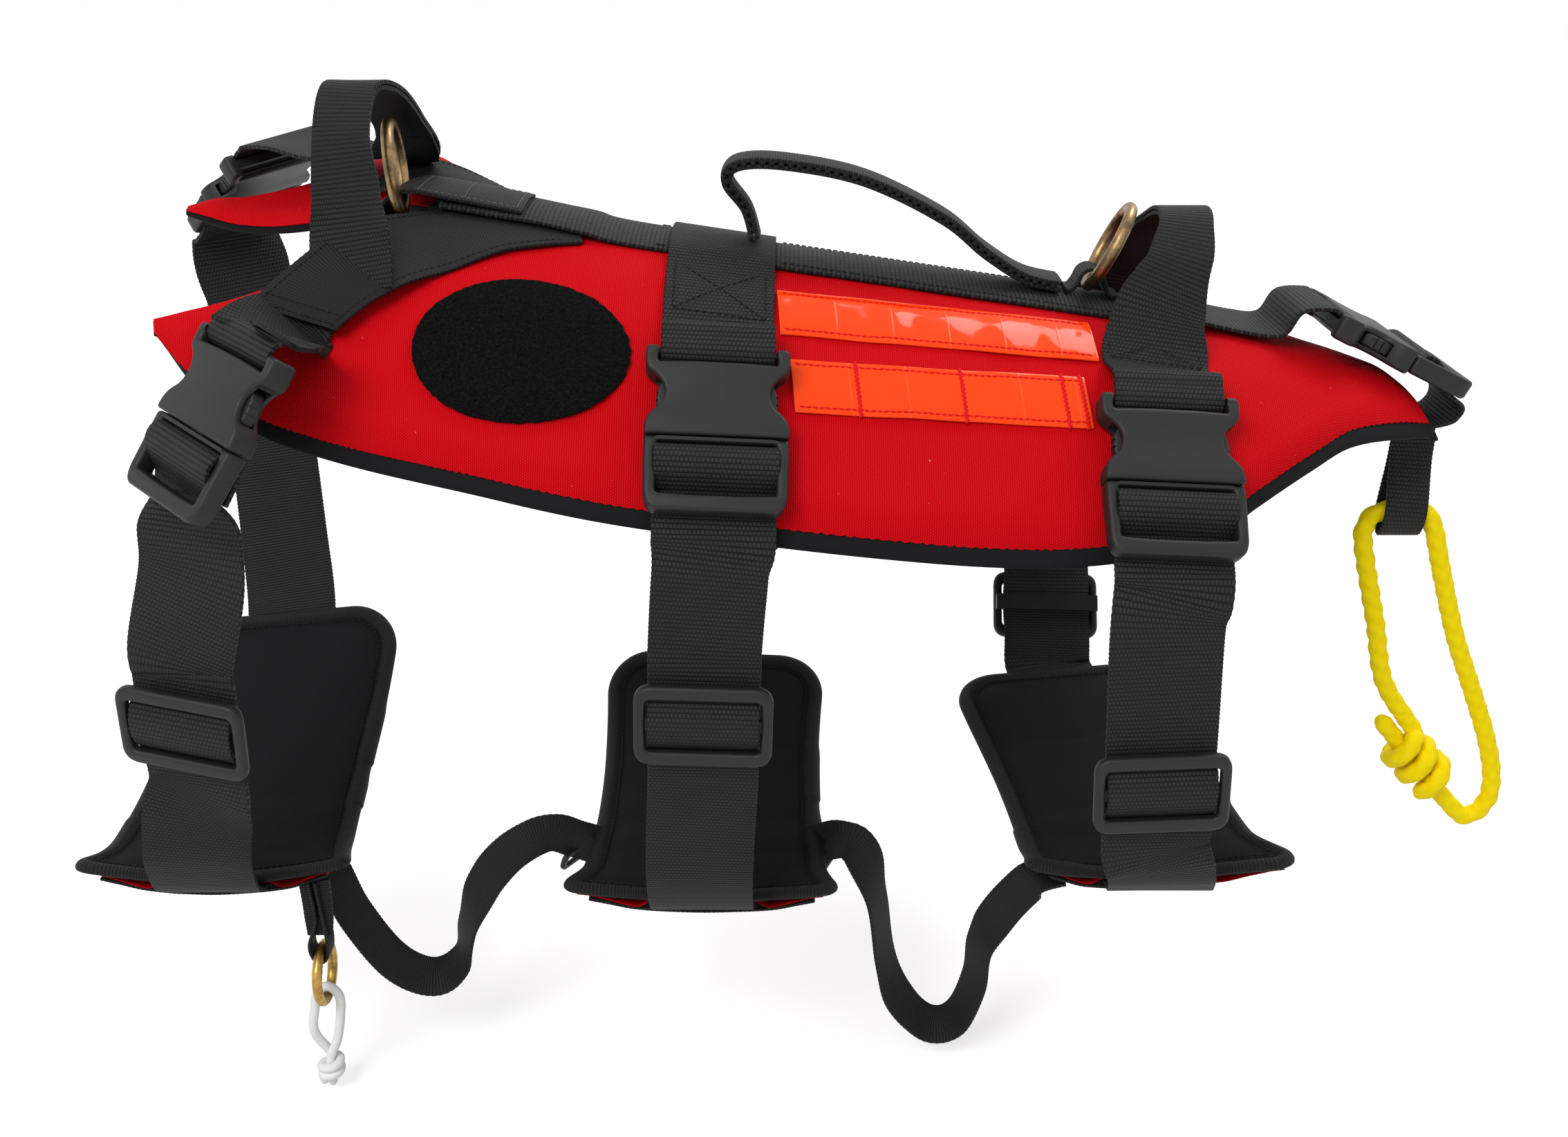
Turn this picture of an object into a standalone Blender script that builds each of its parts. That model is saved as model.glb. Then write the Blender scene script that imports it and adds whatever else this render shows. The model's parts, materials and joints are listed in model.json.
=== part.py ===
"""Dog lifting harness: padded side panels, webbing, buckles, rings and cords (metres, +Z up).

The dog's head is at -X and its left side at -Y. The origin is on the dog's back, under the spine webbing.
"""
import math

import bmesh
import bpy
from mathutils import Matrix, Vector

MM = 0.001
GAP = 0.3 * MM

# Panels, as a flat pattern rolled over the back: x runs to the tail, s runs down each side.
BACK_RADIUS = 107 * MM
BACK_REACH = 75 * MM
FLANK_RADIUS = 326 * MM
SPINE_SLOPE = 0.15
TAIL_START = 180 * MM
TAIL_CURVE = 1.0
COLLAR_START = -100 * MM
COLLAR_LENGTH = 190 * MM
COLLAR_ROLL = 15 * MM
COLLAR_YAW = 0.17
COLLAR_NARROWING = 0.1
FLARE_START = -105 * MM
FLARE_LENGTH = 95 * MM
FLARE_EASE = 45 * MM
FLARE_RISE = 0.25
FLARE_BEND = 75 * MM
LINING_THICK = 8.5 * MM
LINING_EDGE = 4.0 * MM
COVER_THICK = 1.5 * MM
EDGE_ROLL = 22 * MM
RIM = 8 * MM
PANEL_FRONT = -294 * MM
PANEL_REAR = 310 * MM
RIDGE_GAP = 1.6 * MM
LAID_GAP = 0.5 * MM

# Webbing.
WEBBING_WIDTH = 50 * MM
WEBBING_THICK = 2.0 * MM
GRIP_WIDTH = 25 * MM
HANDLE_WIDTH = 25 * MM
HANDLE_THICK = 5.5 * MM
LINK_WIDTH = 20 * MM
LINK_THICK = 1.6 * MM
PULL_TAB_WIDTH = 25 * MM

# Buckles: the socket lies at -y and the plug at +y of the mouth.
BUCKLE_WIDTH = 63 * MM
BUCKLE_THICK = 12 * MM
SOCKET_LENGTH = 42 * MM
PLUG_LENGTH = 34 * MM
PLUG_THICK = 9 * MM
CAVITY_HEIGHT = 7 * MM
CAVITY_WIDTH = 54 * MM
CAVITY_DEPTH = 27.5 * MM
PRONG_THICK = 6 * MM
SOCKET_BAR_THICK = 4 * MM
SLOT_WIDTH = 53 * MM
BUCKLE_LIFT = 0.6 * MM

# Adjusters.
SLIDER_WIDTH = 62 * MM
SLIDER_HEIGHT = 40 * MM
SLIDER_THICK = 5 * MM
SLIDER_RAIL = 7 * MM
SLIDER_BAR = 6 * MM
SLIDER_BAR_THICK = 3 * MM

# Rings, cords and trim.
RING_OUTER = 47 * MM
RING_WIRE = 6 * MM
BELLY_RING_OUTER = 34 * MM
BELLY_RING_WIRE = 5.0 * MM
ROPE_DIAMETER = 8 * MM
CORD_DIAMETER = 4 * MM
PATCH_LENGTH = 100 * MM
PATCH_HEIGHT = 70 * MM
PATCH_THICK = 1.6 * MM
STRIP_WIDTH = 26 * MM
STRIP_THICK = 1.0 * MM
PAD_WIDTH = 128 * MM
PAD_THICK = 9 * MM
PAD_EDGE = 4.5 * MM
PAD_CORNER = 26 * MM

COVER_TOP = LINING_THICK + LAID_GAP + COVER_THICK
LAID = COVER_TOP + LAID_GAP + WEBBING_THICK / 2
LAID_OVER = LAID + LAID_GAP + WEBBING_THICK

for item in list(bpy.data.objects):
    bpy.data.objects.remove(item, do_unlink=True)
parts = bpy.data.collections.new("lifting_harness")
cutters = bpy.data.collections.new("cutters")
bpy.context.scene.collection.children.link(parts)
bpy.context.scene.collection.children.link(cutters)


def material(name, colour, roughness, metallic=0.0):
    made = bpy.data.materials.new(name)
    made.use_nodes = True
    shader = made.node_tree.nodes["Principled BSDF"]
    shader.inputs["Base Color"].default_value = (*colour, 1.0)
    shader.inputs["Roughness"].default_value = roughness
    shader.inputs["Metallic"].default_value = metallic
    return made


RED_CLOTH = material("red_cloth", (0.58, 0.003, 0.007), 0.75)
BLACK_LINING = material("black_lining", (0.012, 0.012, 0.014), 0.85)
BLACK_WEBBING = material("black_webbing", (0.013, 0.013, 0.014), 0.8)
GREY_PLASTIC = material("grey_plastic", (0.03, 0.03, 0.032), 0.5)
AGED_BRASS = material("aged_brass", (0.2, 0.125, 0.055), 0.35, 1.0)
LOOP_PILE = material("loop_pile", (0.01, 0.01, 0.01), 0.95)
ORANGE_VINYL = material("orange_vinyl", (0.9, 0.08, 0.008), 0.2)
YELLOW_ROPE = material("yellow_rope", (0.95, 0.7, 0.0), 0.6)
WHITE_CORD = material("white_cord", (0.87, 0.87, 0.88), 0.7)


def at(x, y, z):
    return Vector((x, y, z)) * MM


def ease(value):
    value = min(max(value, 0.0), 1.0)
    return value * value * (3.0 - 2.0 * value)


def keep(name, mesh, paint, matrix=None, smooth=False):
    made = bpy.data.objects.new(name, mesh)
    mesh.name = name
    mesh.materials.clear()
    mesh.materials.append(paint)
    if smooth:
        mesh.shade_smooth()
    if matrix is not None:
        made.matrix_world = matrix
    parts.objects.link(made)
    return made


def spine_height(x):
    drop = max(x - TAIL_START, 0.0)
    return -SPINE_SLOPE * x - TAIL_CURVE * drop * drop


def between(points, x):
    """Value at x of the smooth line through a few (x, value) points."""
    last = len(points) - 1
    index = 0
    while index < last - 1 and x > points[index + 1][0]:
        index += 1
    slopes = []
    for place in (index, index + 1):
        before = points[max(place - 1, 0)]
        after = points[min(place + 1, last)]
        slopes.append((after[1] - before[1]) / (after[0] - before[0]))
    start, end = points[index], points[index + 1]
    span = end[0] - start[0]
    t = min(max((x - start[0]) / span, 0.0), 1.0)
    rise = ease(t)
    bend_in = t * (1.0 - t) ** 2 * span * slopes[0]
    bend_out = t * t * (t - 1.0) * span * slopes[1]
    return start[1] + (end[1] - start[1]) * rise + bend_in + bend_out


# Lie of the right horn along x in millimetres: its level at the middle, and where it turns down outside.
FLARE_LEVEL = [(-312, 1), (-280, -5), (-240, 0), (-190, 18), (-150, 24), (-120, 24)]
FLARE_CREST = [(-312, 120), (-280, 112), (-240, 95), (-190, 66), (-150, 50), (-120, 45)]


def skin(x, s):
    """World point of pattern place (x, s) on the face that touches the dog.

    The collar is rolled to the left and its right horn is flared, as the harness lies.
    """
    share = ease((COLLAR_START - x) / COLLAR_LENGTH)
    x = x - COLLAR_YAW * share * s
    s = s - COLLAR_ROLL * share
    side = -1.0 if s < 0.0 else 1.0
    near = min(abs(s), BACK_REACH)
    turn = near / BACK_RADIUS
    lean = turn + (abs(s) - near) / FLANK_RADIUS
    out = BACK_RADIUS * math.sin(turn) + FLANK_RADIUS * (math.sin(lean) - math.sin(turn))
    down = BACK_RADIUS * (1.0 - math.cos(turn)) + FLANK_RADIUS * (math.cos(turn) - math.cos(lean))
    y = side * out * (1.0 - COLLAR_NARROWING * share)
    z = spine_height(x) - down
    if s > 0.0:
        past = max(y - between(FLARE_CREST, x / MM) * MM, 0.0)
        level = between(FLARE_LEVEL, x / MM) * MM + FLARE_RISE * y - past * past / (2.0 * FLARE_BEND)
        z += (level - z) * ease((FLARE_START - x) / FLARE_LENGTH) * ease(s / FLARE_EASE)
    return Vector((x, y, z))


def drape(x, s, h):
    """World point of pattern place (x, s), h above the face that touches the dog."""
    back = skin(x + MM, s) - skin(x - MM, s)
    right = skin(x, s + MM) - skin(x, s - MM)
    return skin(x, s) + back.cross(right).normalized() * h


def smooth_route(knots, steps):
    """Points of the smooth curve through the knots, with the given steps from knot to knot."""
    last = len(knots) - 1
    points = []
    for index in range(last):
        a = knots[max(index - 1, 0)]
        b, c = knots[index], knots[index + 1]
        d = knots[min(index + 2, last)]
        for step in range(steps):
            t = step / steps
            pull_in = (c - a) * (0.5 * t * (1.0 - t) ** 2)
            pull_out = (d - b) * (0.5 * t * t * (t - 1.0))
            points.append(b.lerp(c, ease(t)) + pull_in + pull_out)
    points.append(knots[-1].copy())
    return points


def sheet(name, columns, rows, place, thick, paint, share=None):
    """Grid laid out by place(across, along) and thickened; share gives the local part of the thickness."""
    mesh = bpy.data.meshes.new(name)
    grid = bmesh.new()
    bmesh.ops.create_grid(grid, x_segments=columns, y_segments=rows, size=0.5)
    shares = []
    for vertex in grid.verts:
        across, along = vertex.co.x + 0.5, vertex.co.y + 0.5
        shares.append(1.0 if share is None else share(across, along))
        vertex.co = place(across, along)
    grid.to_mesh(mesh)
    grid.free()
    made = keep(name, mesh, paint)
    shell = made.modifiers.new("Thickness", "SOLIDIFY")
    shell.thickness = thick
    shell.offset = 0.0
    shell.use_even_offset = True
    if share is not None:
        group = made.vertex_groups.new(name="thickness")
        for index, value in enumerate(shares):
            group.add([index], value, "REPLACE")
        shell.vertex_group = "thickness"
    return made


def shell(name, columns, rows, place, paint):
    """Closed sheet; place(across, along, level) gives its lower face at level 0 and its upper one at 1."""
    mesh = bpy.data.meshes.new(name)
    grid = bmesh.new()
    bmesh.ops.create_grid(grid, x_segments=columns, y_segments=rows, size=0.5)
    lower = list(grid.verts)
    lifted = bmesh.ops.extrude_face_region(grid, geom=list(grid.faces))
    upper = [item for item in lifted["geom"] if isinstance(item, bmesh.types.BMVert)]
    for level, vertices in ((0.0, lower), (1.0, upper)):
        for vertex in vertices:
            vertex.co = place(vertex.co.x + 0.5, vertex.co.y + 0.5, level)
    bmesh.ops.recalc_face_normals(grid, faces=grid.faces)
    grid.to_mesh(mesh)
    grid.free()
    return keep(name, mesh, paint)


def lay_out(knots, steps):
    """Rows (centre, width vector, heading) along a route; each knot is (centre, width direction, width)."""
    points = smooth_route([knot[0] for knot in knots], steps)
    last = len(points) - 1
    rows = []
    for index, point in enumerate(points):
        ahead = points[min(index + 1, last)] - points[max(index - 1, 0)]
        ahead.normalize()
        knot = min(index // steps, len(knots) - 2)
        part = index / steps - knot
        across = knots[knot][1].lerp(knots[knot + 1][1], part)
        across = (across - ahead * across.dot(ahead)).normalized()
        width = knots[knot][2] + (knots[knot + 1][2] - knots[knot][2]) * part
        rows.append((point, across * width, ahead))
    return rows


def ribbon(name, knots, steps=2, thick=WEBBING_THICK, paint=BLACK_WEBBING):
    """Webbing along a route of knots."""
    rows = lay_out(knots, steps)
    count = len(rows) - 1

    def place(across, along):
        point, width, _ = rows[round(along * count)]
        return point + width * (across - 0.5)

    return sheet(name, 1, count, place, thick, paint)


def laid_ribbon(name, knots, thick, rows, columns, paint):
    """Strip lying on a panel; each knot is (pattern place, height of its middle, width)."""
    centres = smooth_route([knot[0] for knot in knots], rows)
    count = len(centres) - 1

    def place(across, along):
        index = round(along * count)
        knot = min(index // rows, len(knots) - 2)
        part = index / rows - knot
        ahead = centres[min(index + 1, count)] - centres[max(index - 1, 0)]
        ahead.normalize()
        height = knots[knot][1] + (knots[knot + 1][1] - knots[knot][1]) * part
        width = knots[knot][2] + (knots[knot + 1][2] - knots[knot][2]) * part
        spot = centres[index] + Vector((-ahead.y, ahead.x, 0.0)) * (width * (across - 0.5))
        return drape(spot.x, spot.y, height)

    return sheet(name, columns, count, place, thick, paint)


def plate(outlines, thick, name):
    """Flat plate from an outline and its holes (x, y in millimetres), centred on z = 0."""
    drawing = bpy.data.curves.new(name, "CURVE")
    drawing.dimensions = "2D"
    drawing.fill_mode = "BOTH"
    drawing.extrude = thick / 2
    for outline in outlines:
        line = drawing.splines.new("POLY")
        line.points.add(len(outline) - 1)
        line.use_cyclic_u = True
        for point, (x, y) in zip(line.points, outline):
            point.co = (x * MM, y * MM, 0.0, 1.0)
    drawn = bpy.data.objects.new(name, drawing)
    cutters.objects.link(drawn)
    bpy.context.view_layer.update()
    mesh = bpy.data.meshes.new_from_object(drawn.evaluated_get(bpy.context.evaluated_depsgraph_get()))
    bpy.data.objects.remove(drawn, do_unlink=True)
    weld = bmesh.new()
    weld.from_mesh(mesh)
    bmesh.ops.remove_doubles(weld, verts=weld.verts, dist=0.00001)
    bmesh.ops.recalc_face_normals(weld, faces=weld.faces)
    weld.to_mesh(mesh)
    weld.free()
    return mesh


def block(low, high):
    """Box mesh between two corners in millimetres."""
    mesh = bpy.data.meshes.new("block")
    cube = bmesh.new()
    bmesh.ops.create_cube(cube, size=1.0)
    low, high = at(*low), at(*high)
    for vertex in cube.verts:
        share = vertex.co + Vector((0.5, 0.5, 0.5))
        vertex.co = Vector([a + (b - a) * t for a, b, t in zip(low, high, share)])
    cube.to_mesh(mesh)
    cube.free()
    return mesh


def combine(mesh, steps):
    """Mesh after a run of exact booleans; each step is (operation, tool mesh)."""
    base = bpy.data.objects.new("base", mesh)
    cutters.objects.link(base)
    for operation, tool_mesh in steps:
        tool = bpy.data.objects.new("tool", tool_mesh)
        tool.display_type = "WIRE"
        tool.hide_render = True
        cutters.objects.link(tool)
        change = base.modifiers.new(operation, "BOOLEAN")
        change.operation = operation
        change.solver = "EXACT"
        change.object = tool
    bpy.context.view_layer.update()
    made = bpy.data.meshes.new_from_object(base.evaluated_get(bpy.context.evaluated_depsgraph_get()))
    for helper in list(cutters.objects):
        bpy.data.objects.remove(helper, do_unlink=True)
    return made


def frame_of(origin, along, face):
    """Placement whose local y is along and local z the outer face."""
    along = along.normalized()
    face = (face - along * face.dot(along)).normalized()
    across = along.cross(face)
    turn = Matrix((across, along, face)).transposed()
    return Matrix.Translation(origin) @ turn.to_4x4()


def mirrored(half):
    """Closed outline from its right half, listed from one end to the other."""
    return half + [(-x, y) for x, y in reversed(half)]


def set_origin(made, point):
    made.data.transform(Matrix.Translation(-point))
    made.location = point


# Panel outlines in millimetres: (x, distance down the side).
NECK_EDGE = [(-294, 91), (-251, 74), (-210, 53), (-180, 28), (-158, 0)]
LOWER_EDGE = [(-294, 97), (-280, 114), (-240, 135), (-123, 155), (-59, 159), (68, 156), (137, 147)]
LOWER_EDGE += [(190, 128), (212, 109), (243, 81), (264, 62), (299, 41), (310, 34)]
PANEL_COLUMNS = 8
PANEL_ROWS = 26
END_CROWDING = 0.08


def panel_top(x):
    return max(between(NECK_EDGE, min(x / MM, NECK_EDGE[-1][0])) * MM, RIDGE_GAP / 2)


def panel_low(x):
    return between(LOWER_EDGE, x / MM) * MM


def panel_spot(column, row):
    """Pattern place of a grid point; column and row run past the cover where the lining shows as a rim."""
    along = min(max(row / PANEL_ROWS, 0.0), 1.0)
    x = PANEL_FRONT + (PANEL_REAR - PANEL_FRONT) * (along - END_CROWDING * math.sin(math.tau * along))
    top, low = panel_top(x), panel_low(x)
    s = top + (low - top) * min(column / PANEL_COLUMNS, 1.0)
    if column > PANEL_COLUMNS:
        s = low + RIM
    if row < 0:
        x -= RIM / 2
    if row > PANEL_ROWS:
        x += RIM / 2
    return x, s


def lining_height(x, s):
    """Thickness of the foam-backed lining, rolled down to its edges."""
    share = ease((panel_low(x) + RIM - s) / EDGE_ROLL)
    share *= ease((x - PANEL_FRONT + RIM / 2) / EDGE_ROLL)
    share *= ease((PANEL_REAR + RIM / 2 - x) / EDGE_ROLL)
    if x < NECK_EDGE[-1][0] * MM:
        share *= ease((s - panel_top(x) + RIM) / EDGE_ROLL)
    return LINING_EDGE + (LINING_THICK - LINING_EDGE) * share


def add_panel(word, side):
    def lining_place(across, along, level):
        x, s = panel_spot(round(across * (PANEL_COLUMNS + 1)), round(along * (PANEL_ROWS + 2)) - 1)
        return drape(x, side * s, lining_height(x, s) * level)

    def cover_place(across, along, level):
        x, s = panel_spot(round(across * PANEL_COLUMNS), round(along * PANEL_ROWS))
        return drape(x, side * s, lining_height(x, s) + LAID_GAP + COVER_THICK * level)

    shell(word + "_lining", PANEL_COLUMNS + 1, PANEL_ROWS + 2, lining_place, BLACK_LINING)
    shell(word + "_cover", PANEL_COLUMNS, PANEL_ROWS, cover_place, RED_CLOTH)


add_panel("left", -1.0)
add_panel("right", 1.0)

# Buckle pieces, drawn once around the mouth of the socket.
HALF = BUCKLE_WIDTH / 2 / MM
SOCKET = SOCKET_LENGTH / MM
PLUG = PLUG_LENGTH / MM
SLOT = SLOT_WIDTH / 2 / MM
CAVITY = CAVITY_WIDTH / 2 / MM
WAIST = CAVITY - 2.5
BAR_EDGE = SOCKET - 5
SLOT_EDGE = SOCKET - 12
FRAME_START = GAP / MM
WINDOW_START = 5
WINDOW_END = PLUG - 7
PLUG_BAR = (9, 14)
HALF_PLUG_THICK = PLUG_THICK / 2 / MM
PRONG_HINGE = 18

socket_half = [(HALF - 3.5, -SOCKET), (HALF, -SOCKET + 3), (HALF, -SOCKET + 9), (HALF - 2.5, -SOCKET + 12.5)]
socket_half += [(WAIST + 1, -26.5), (WAIST, -22), (WAIST, -15), (WAIST + 1, -11.5)]
socket_half += [(HALF - 2, -8.5), (HALF, -4), (HALF, 0)]
slot_hole = [(SLOT, -BAR_EDGE), (-SLOT, -BAR_EDGE), (-SLOT, -SLOT_EDGE), (SLOT, -SLOT_EDGE)]
half_bar = SOCKET_BAR_THICK / 2 / MM
half_cavity = CAVITY_HEIGHT / 2 / MM
tall = BUCKLE_THICK / MM
socket_mesh = combine(plate([mirrored(socket_half), slot_hole], BUCKLE_THICK, "socket"), [
    ("DIFFERENCE", block((-CAVITY, -CAVITY_DEPTH / MM, -half_cavity), (CAVITY, 1, half_cavity))),
    ("DIFFERENCE", block((-SLOT, -SOCKET - 1, half_bar), (SLOT, -BAR_EDGE + 0.01, tall))),
    ("DIFFERENCE", block((-SLOT, -SOCKET - 1, -tall), (SLOT, -BAR_EDGE + 0.01, -half_bar))),
])

frame_half = [(HALF, FRAME_START), (HALF, PLUG - 4), (HALF - 3, PLUG)]
window = [(SLOT, WINDOW_START), (-SLOT, WINDOW_START), (-SLOT, WINDOW_END), (SLOT, WINDOW_END)]
plug_mesh = combine(plate([mirrored(frame_half), window], PLUG_THICK, "plug"), [
    ("UNION", block((-SLOT - 1, PLUG_BAR[0], -HALF_PLUG_THICK), (SLOT + 1, PLUG_BAR[1], 0))),
    ("UNION", block((-5, -20, -3), (5, FRAME_START + 1, 3))),
])


def prong_outline(root):
    outer = CAVITY - 0.7
    return [(16, root), (20, root), (21.5, -5), (outer, -11), (outer, -24), (22, -26.5), (17.5, -24), (16.5, -9)]


prong_mesh = plate([[(x - PRONG_HINGE, y) for x, y in prong_outline(0)]], PRONG_THICK, "prong")
sunk_prong = prong_outline(FRAME_START + 1)
whole_plug_mesh = combine(plug_mesh.copy(), [
    ("UNION", plate([sunk_prong], PRONG_THICK, "prong_right")),
    ("UNION", plate([[(-x, y) for x, y in reversed(sunk_prong)]], PRONG_THICK, "prong_left")),
])

wide, high = SLIDER_WIDTH / 2 / MM, SLIDER_HEIGHT / 2 / MM
rail, half_slider = SLIDER_RAIL / MM, SLIDER_THICK / 2 / MM
opening = WEBBING_WIDTH / 2 / MM + 1
slider_half = [(wide - 5, -high), (wide, -high + 5), (wide, high - 5), (wide - 5, high)]
slider_hole = [(opening, -high + rail), (-opening, -high + rail), (-opening, high - rail), (opening, high - rail)]
bar_low = (-opening - 1, -SLIDER_BAR / 2 / MM, -half_slider)
bar_high = (opening + 1, SLIDER_BAR / 2 / MM, -half_slider + SLIDER_BAR_THICK / MM)
slider_mesh = combine(plate([mirrored(slider_half), slider_hole], SLIDER_THICK, "slider"), [
    ("UNION", block(bar_low, bar_high)),
])


def on_panel(x, s):
    """Buckle placement lying on a panel with its mouth at pattern place (x, s)."""
    height = COVER_TOP + LAID_GAP + BUCKLE_LIFT + BUCKLE_THICK / 2
    down = drape(x, s * 1.01, height) - drape(x, s * 0.99, height)
    back = drape(x + MM, s, height) - drape(x - MM, s, height)
    face = back.cross(down) if s > 0.0 else down.cross(back)
    return frame_of(drape(x, s, height), down, face)


BUCKLES = {
    "front_left": frame_of(at(-243, -143, -36), at(-46, -35.5, -81), at(-70, -71, 30)),
    "front_right": frame_of(at(-294, 130, 21), at(-57, 61, -54), at(-50, 30, 80)),
    "mid_left": on_panel(-31 * MM, -128 * MM),
    "mid_right": on_panel(-31 * MM, 128 * MM),
    "rear_left": on_panel(170 * MM, -119 * MM),
    "rear_right": on_panel(170 * MM, 119 * MM),
    "tail": frame_of(at(301.7, 0, -36.5), at(89.8, 0, -44), at(44, 0, 89.8)),
}
for word, matrix in BUCKLES.items():
    keep(word + "_socket", socket_mesh.copy(), GREY_PLASTIC, matrix)
    if word.endswith("_left"):
        keep(word + "_plug", plug_mesh.copy(), GREY_PLASTIC, matrix)
        hinge = Matrix.Translation(at(PRONG_HINGE, 0, 0))
        keep(word + "_prong_a", prong_mesh.copy(), GREY_PLASTIC, matrix @ hinge)
        flip = Matrix.Rotation(math.pi, 4, "Y")
        keep(word + "_prong_b", prong_mesh.copy(), GREY_PLASTIC, matrix @ flip @ hinge)
    else:
        keep(word + "_plug", whole_plug_mesh.copy(), GREY_PLASTIC, matrix)

# Webbing ends in a buckle, as (along, out) in millimetres: over the bar and into the slot.
half_web = WEBBING_THICK / 2 / MM
SOCKET_END = [(-52, 3.6), (-45, 4.4), (-39.5, half_bar + half_web + 1), (-35.5, 3.2), (-33.4, 0), (-33.4, -4)]
PLUG_END = [(7.2, -3.6), (7.2, -0.6), (8.5, 1.7), (11.5, 2.1), (15, 1.3), (20, -2.6), (25, -5.9), (31, -6.2)]
PLUG_END += [(38, -6.5), (46, -9)]
# Webbing through an adjuster: behind the rails and over the bar.
SLIDER_PASS = [(-25, -4.2), (-17, -4.2), (-12.5, -3.4), (-4, 1.5), (0, 2.0), (4, 1.5), (12.5, -3.4), (17, -4.2)]
SLIDER_PASS += [(25, -4.2)]


def local_knots(matrix, path, hint):
    """Webbing knots from a path in a fitting's own y and z; the width runs along its x."""
    across = matrix.to_3x3() @ Vector((1.0, 0.0, 0.0))
    if across.dot(hint) < 0.0:
        across = -across
    return [(matrix @ at(0, y, z), across, WEBBING_WIDTH) for y, z in path]


EAST = Vector((1.0, 0.0, 0.0))
BACKWARD = Vector((1.0, 0.0, -SPINE_SLOPE))


def laid_knot(x, s, h, width=WEBBING_WIDTH, hint=BACKWARD):
    return (drape(x * MM, s * MM, h), hint, width)


def free_knot(x, y, z, width=WEBBING_WIDTH / MM, hint=EAST):
    return (at(x, y, z), hint, width * MM)


def socket_tail(word):
    return local_knots(BUCKLES[word], SOCKET_END, EAST)


# Saddle straps, from buckle to buckle over the back.
mid_knots = list(reversed(socket_tail("mid_left")))
LIFTED = LAID + MM
mid_back = [(-72, LIFTED), (-62, LAID), (-50, LAID), (-38, LAID), (-25, LAID_OVER), (-12, LAID_OVER), (0, LAID_OVER)]
mid_back += [(-s, h) for s, h in reversed(mid_back[:-1])]
mid_knots += [laid_knot(-31, s, h) for s, h in mid_back] + socket_tail("mid_right")
ribbon("mid_saddle_strap", mid_knots)

GRIP = GRIP_WIDTH / MM
rear_knots = list(reversed(socket_tail("rear_left")))
rear_knots += [laid_knot(170, -58, LIFTED), laid_knot(171, -48, LIFTED), free_knot(176, -41, -9, 43)]
rear_knots += [free_knot(186, -30, 14, 30), free_knot(191, -14, 29, GRIP), free_knot(192, 4, 32, GRIP)]
rear_knots += [free_knot(190, 22, 25, GRIP), free_knot(184, 33, 10, 31), free_knot(176, 41, -9, 43)]
rear_knots += [laid_knot(171, 48, LIFTED), laid_knot(170, 58, LIFTED)] + socket_tail("rear_right")
ribbon("rear_saddle_strap", rear_knots)

NEAR_BAND = drape(-0.21, -0.083, LAID) - drape(-0.216, -0.076, LAID)
NEAR_LEG = Vector((0.85, -0.4, -0.2))
FAR_BAND = Vector((0.8, 0.6, 0.0))
near_end = [(-51, 6), (-45, 5.2)] + SOCKET_END[2:]
loop_knots = list(reversed(local_knots(BUCKLES["front_left"], near_end, EAST)))
loop_knots += [laid_knot(-227, -94, LAID_OVER + 2 * MM, 38 * MM, NEAR_BAND.normalized())]
loop_knots += [laid_knot(-215, -83, LAID_OVER + 2 * MM, 32 * MM, NEAR_BAND.normalized())]
loop_knots += [laid_knot(-198, -69, LAID_OVER + 2 * MM, 32 * MM, NEAR_BAND.normalized())]
loop_knots += [free_knot(-191, -66, 31, 36, NEAR_LEG), free_knot(-196, -58, 50, 28)]
loop_knots += [free_knot(-198, -46, 74, GRIP), free_knot(-197, -26, 92, GRIP), free_knot(-191, -2, 88, GRIP)]
loop_knots += [free_knot(-187, 22, 72, GRIP), free_knot(-187, 38, 56, 32), free_knot(-198, 48, 50, 42, FAR_BAND)]
loop_knots += [free_knot(-222, 60, 50, hint=FAR_BAND), free_knot(-244, 78, 52, hint=FAR_BAND)]
loop_knots += socket_tail("front_right")
ribbon("front_grab_loop", loop_knots)


def spot(x, s):
    return Vector((x, s, 0.0)) * MM


# Spine and yoke webbing lie on the panels; the spine covers the ends of the yokes.
spine_knots = [(spot(-164, 1), LAID_OVER + MM, 38 * MM), (spot(-125, 0), LAID_OVER + MM, 45 * MM)]
spine_knots += [(spot(-96, 0), LAID_OVER, WEBBING_WIDTH), (spot(-70, 0), LAID, WEBBING_WIDTH)]
spine_knots += [(spot(50, 0), LAID, WEBBING_WIDTH), (spot(166, 0), LAID, WEBBING_WIDTH)]
laid_ribbon("spine_webbing", spine_knots, WEBBING_THICK, 4, 4, BLACK_WEBBING)
for word, side, spread, lifted in (("left", -1, 0, LAID), ("right", 1, 5, LAID + MM)):
    yoke_knots = [(spot(-99, side * 15.5), LAID, 29 * MM), (spot(-130, side * 24), LAID + 0.4 * MM, 36 * MM)]
    yoke_knots += [(spot(-165, side * (40 + spread)), lifted, 44 * MM)]
    yoke_knots += [(spot(-194, side * (57 + spread)), lifted, 46 * MM)]
    laid_ribbon(word + "_yoke", yoke_knots, WEBBING_THICK, 4, 3, BLACK_WEBBING)

# Top handle, standing on the mid saddle strap and sewn down at its rear end.
NORTH = Vector((0.0, 1.0, 0.0))
handle_route = [(-14, 19.2), (-18, 33), (-27, 46), (-22, 54), (0, 54.5), (38, 47), (76, 29), (97, 12.5)]
handle_route += [(116, 0.8), (134, -3.6)]
handle_knots = [free_knot(x, 0, z, HANDLE_WIDTH / MM, NORTH) for x, z in handle_route]
handle = ribbon("top_handle", handle_knots, thick=HANDLE_THICK)
set_origin(handle, at(60, 0, 4))

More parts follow.
